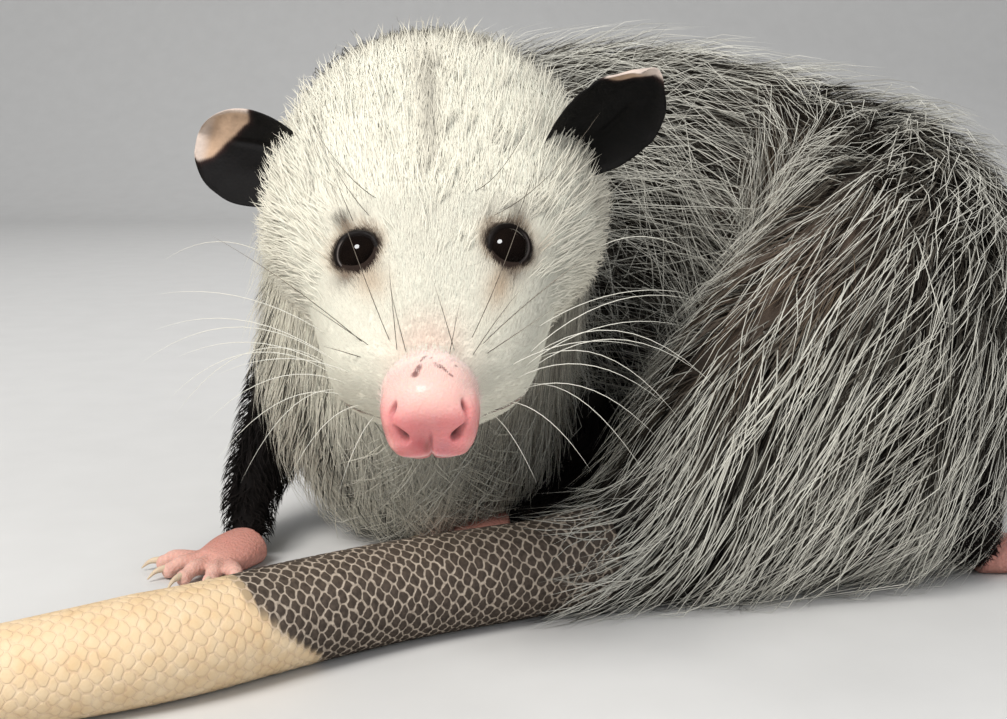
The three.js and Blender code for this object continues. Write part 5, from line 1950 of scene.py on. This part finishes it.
def photo_camera():
    """Camera at the photograph's height, dip and lens."""
    data = bpy.data.cameras.new("camera")
    data.sensor_width = SENSOR
    data.lens = FOCAL_PIXELS / PHOTO_WIDTH * SENSOR
    data.clip_start = 0.01
    camera = bpy.data.objects.new("camera", data)
    camera.location = to_frame(np.array([0.0, 0.0, CAMERA_HEIGHT]))
    camera.rotation_euler = Euler((math.radians(90 - CAMERA_DIP), 0, 0))
    bpy.context.scene.collection.objects.link(camera)
    bpy.context.scene.camera = camera


def studio_world():
    """Dim light from all round, which eyes and nose don't mirror."""
    world = bpy.data.worlds.new("studio")
    world.use_nodes = True
    world.cycles_visibility.glossy = False
    tree = world.node_tree
    feed(tree, tree.nodes["Background"], {"Color": (0.92, 0.95, 1.0, 1), "Strength": 0.42})
    bpy.context.scene.world = world


class OPOSSUM_OT_stage(bpy.types.Operator):
    """Pale floor curving up into a backdrop, soft lights and the photograph's camera"""

    bl_idname = "opossum.stage"
    bl_label = "Stage"

    def execute(self, context):
        pale_floor()
        photo_camera()
        for light in LIGHTS:
            area_light(*light)
        studio_world()
        # light in thick hair fades after a few bounces, and split bounds suit long thin strands
        context.scene.cycles.diffuse_bounces = 2
        context.scene.cycles.glossy_bounces = 1
        context.scene.cycles.debug_use_spatial_splits = True
        context.scene.view_settings.view_transform = "Standard"
        return {"FINISHED"}


class OpossumCoat(bpy.types.PropertyGroup):
    """Amounts and lengths of the coat"""

    face_strands: bpy.props.IntProperty(
        name="Face strands", description="Hairs on the head", default=96000, min=100
    )
    fringe_strands: bpy.props.IntProperty(
        name="Fringe strands", description="Loose hair of the head", default=12000, min=100
    )
    under_strands: bpy.props.IntProperty(
        name="Underfur strands", description="Tufts of underfur", default=20000, min=100
    )
    guard_strands: bpy.props.IntProperty(
        name="Guard hairs", description="Long grey and white hairs", default=30000, min=100
    )
    under_length: bpy.props.FloatProperty(
        name="Underfur length", description="Length of the underfur on the back",
        default=0.026, min=0.0, unit="LENGTH",
    )
    guard_length: bpy.props.FloatProperty(
        name="Guard hair length", description="Length of the guard hair on the back",
        default=0.056, min=0.0, unit="LENGTH",
    )


class OPOSSUM_PT_panel(bpy.types.Panel):
    """Pieces of the opossum"""

    bl_idname = "OPOSSUM_PT_panel"
    bl_label = "Opossum"
    bl_space_type = "VIEW_3D"
    bl_region_type = "UI"
    bl_category = "Opossum"

    def draw(self, context):
        for name in OpossumCoat.__annotations__:
            self.layout.prop(context.scene.opossum_coat, name)
        for operator in OPERATORS:
            self.layout.operator(operator.bl_idname)


OPERATORS = (
    OPOSSUM_OT_stage,
    OPOSSUM_OT_skin,
    OPOSSUM_OT_eyes,
    OPOSSUM_OT_nose,
    OPOSSUM_OT_mouth,
    OPOSSUM_OT_ears,
    OPOSSUM_OT_tail,
    OPOSSUM_OT_feet,
    OPOSSUM_OT_face_coat,
    OPOSSUM_OT_fringe,
    OPOSSUM_OT_underfur,
    OPOSSUM_OT_guard_hair,
    OPOSSUM_OT_leg_coat,
    OPOSSUM_OT_whiskers,
)
CLASSES = (OpossumCoat, *OPERATORS, OPOSSUM_PT_panel)


def register():
    for entry in CLASSES:
        bpy.utils.register_class(entry)
    bpy.types.Scene.opossum_coat = bpy.props.PointerProperty(type=OpossumCoat)


def unregister():
    del bpy.types.Scene.opossum_coat
    for entry in reversed(CLASSES):
        bpy.utils.unregister_class(entry)


def main():
    register()
    for operator in OPERATORS:
        getattr(bpy.ops.opossum, operator.bl_idname.split(".")[1])()


if __name__ == "__main__":
    main()
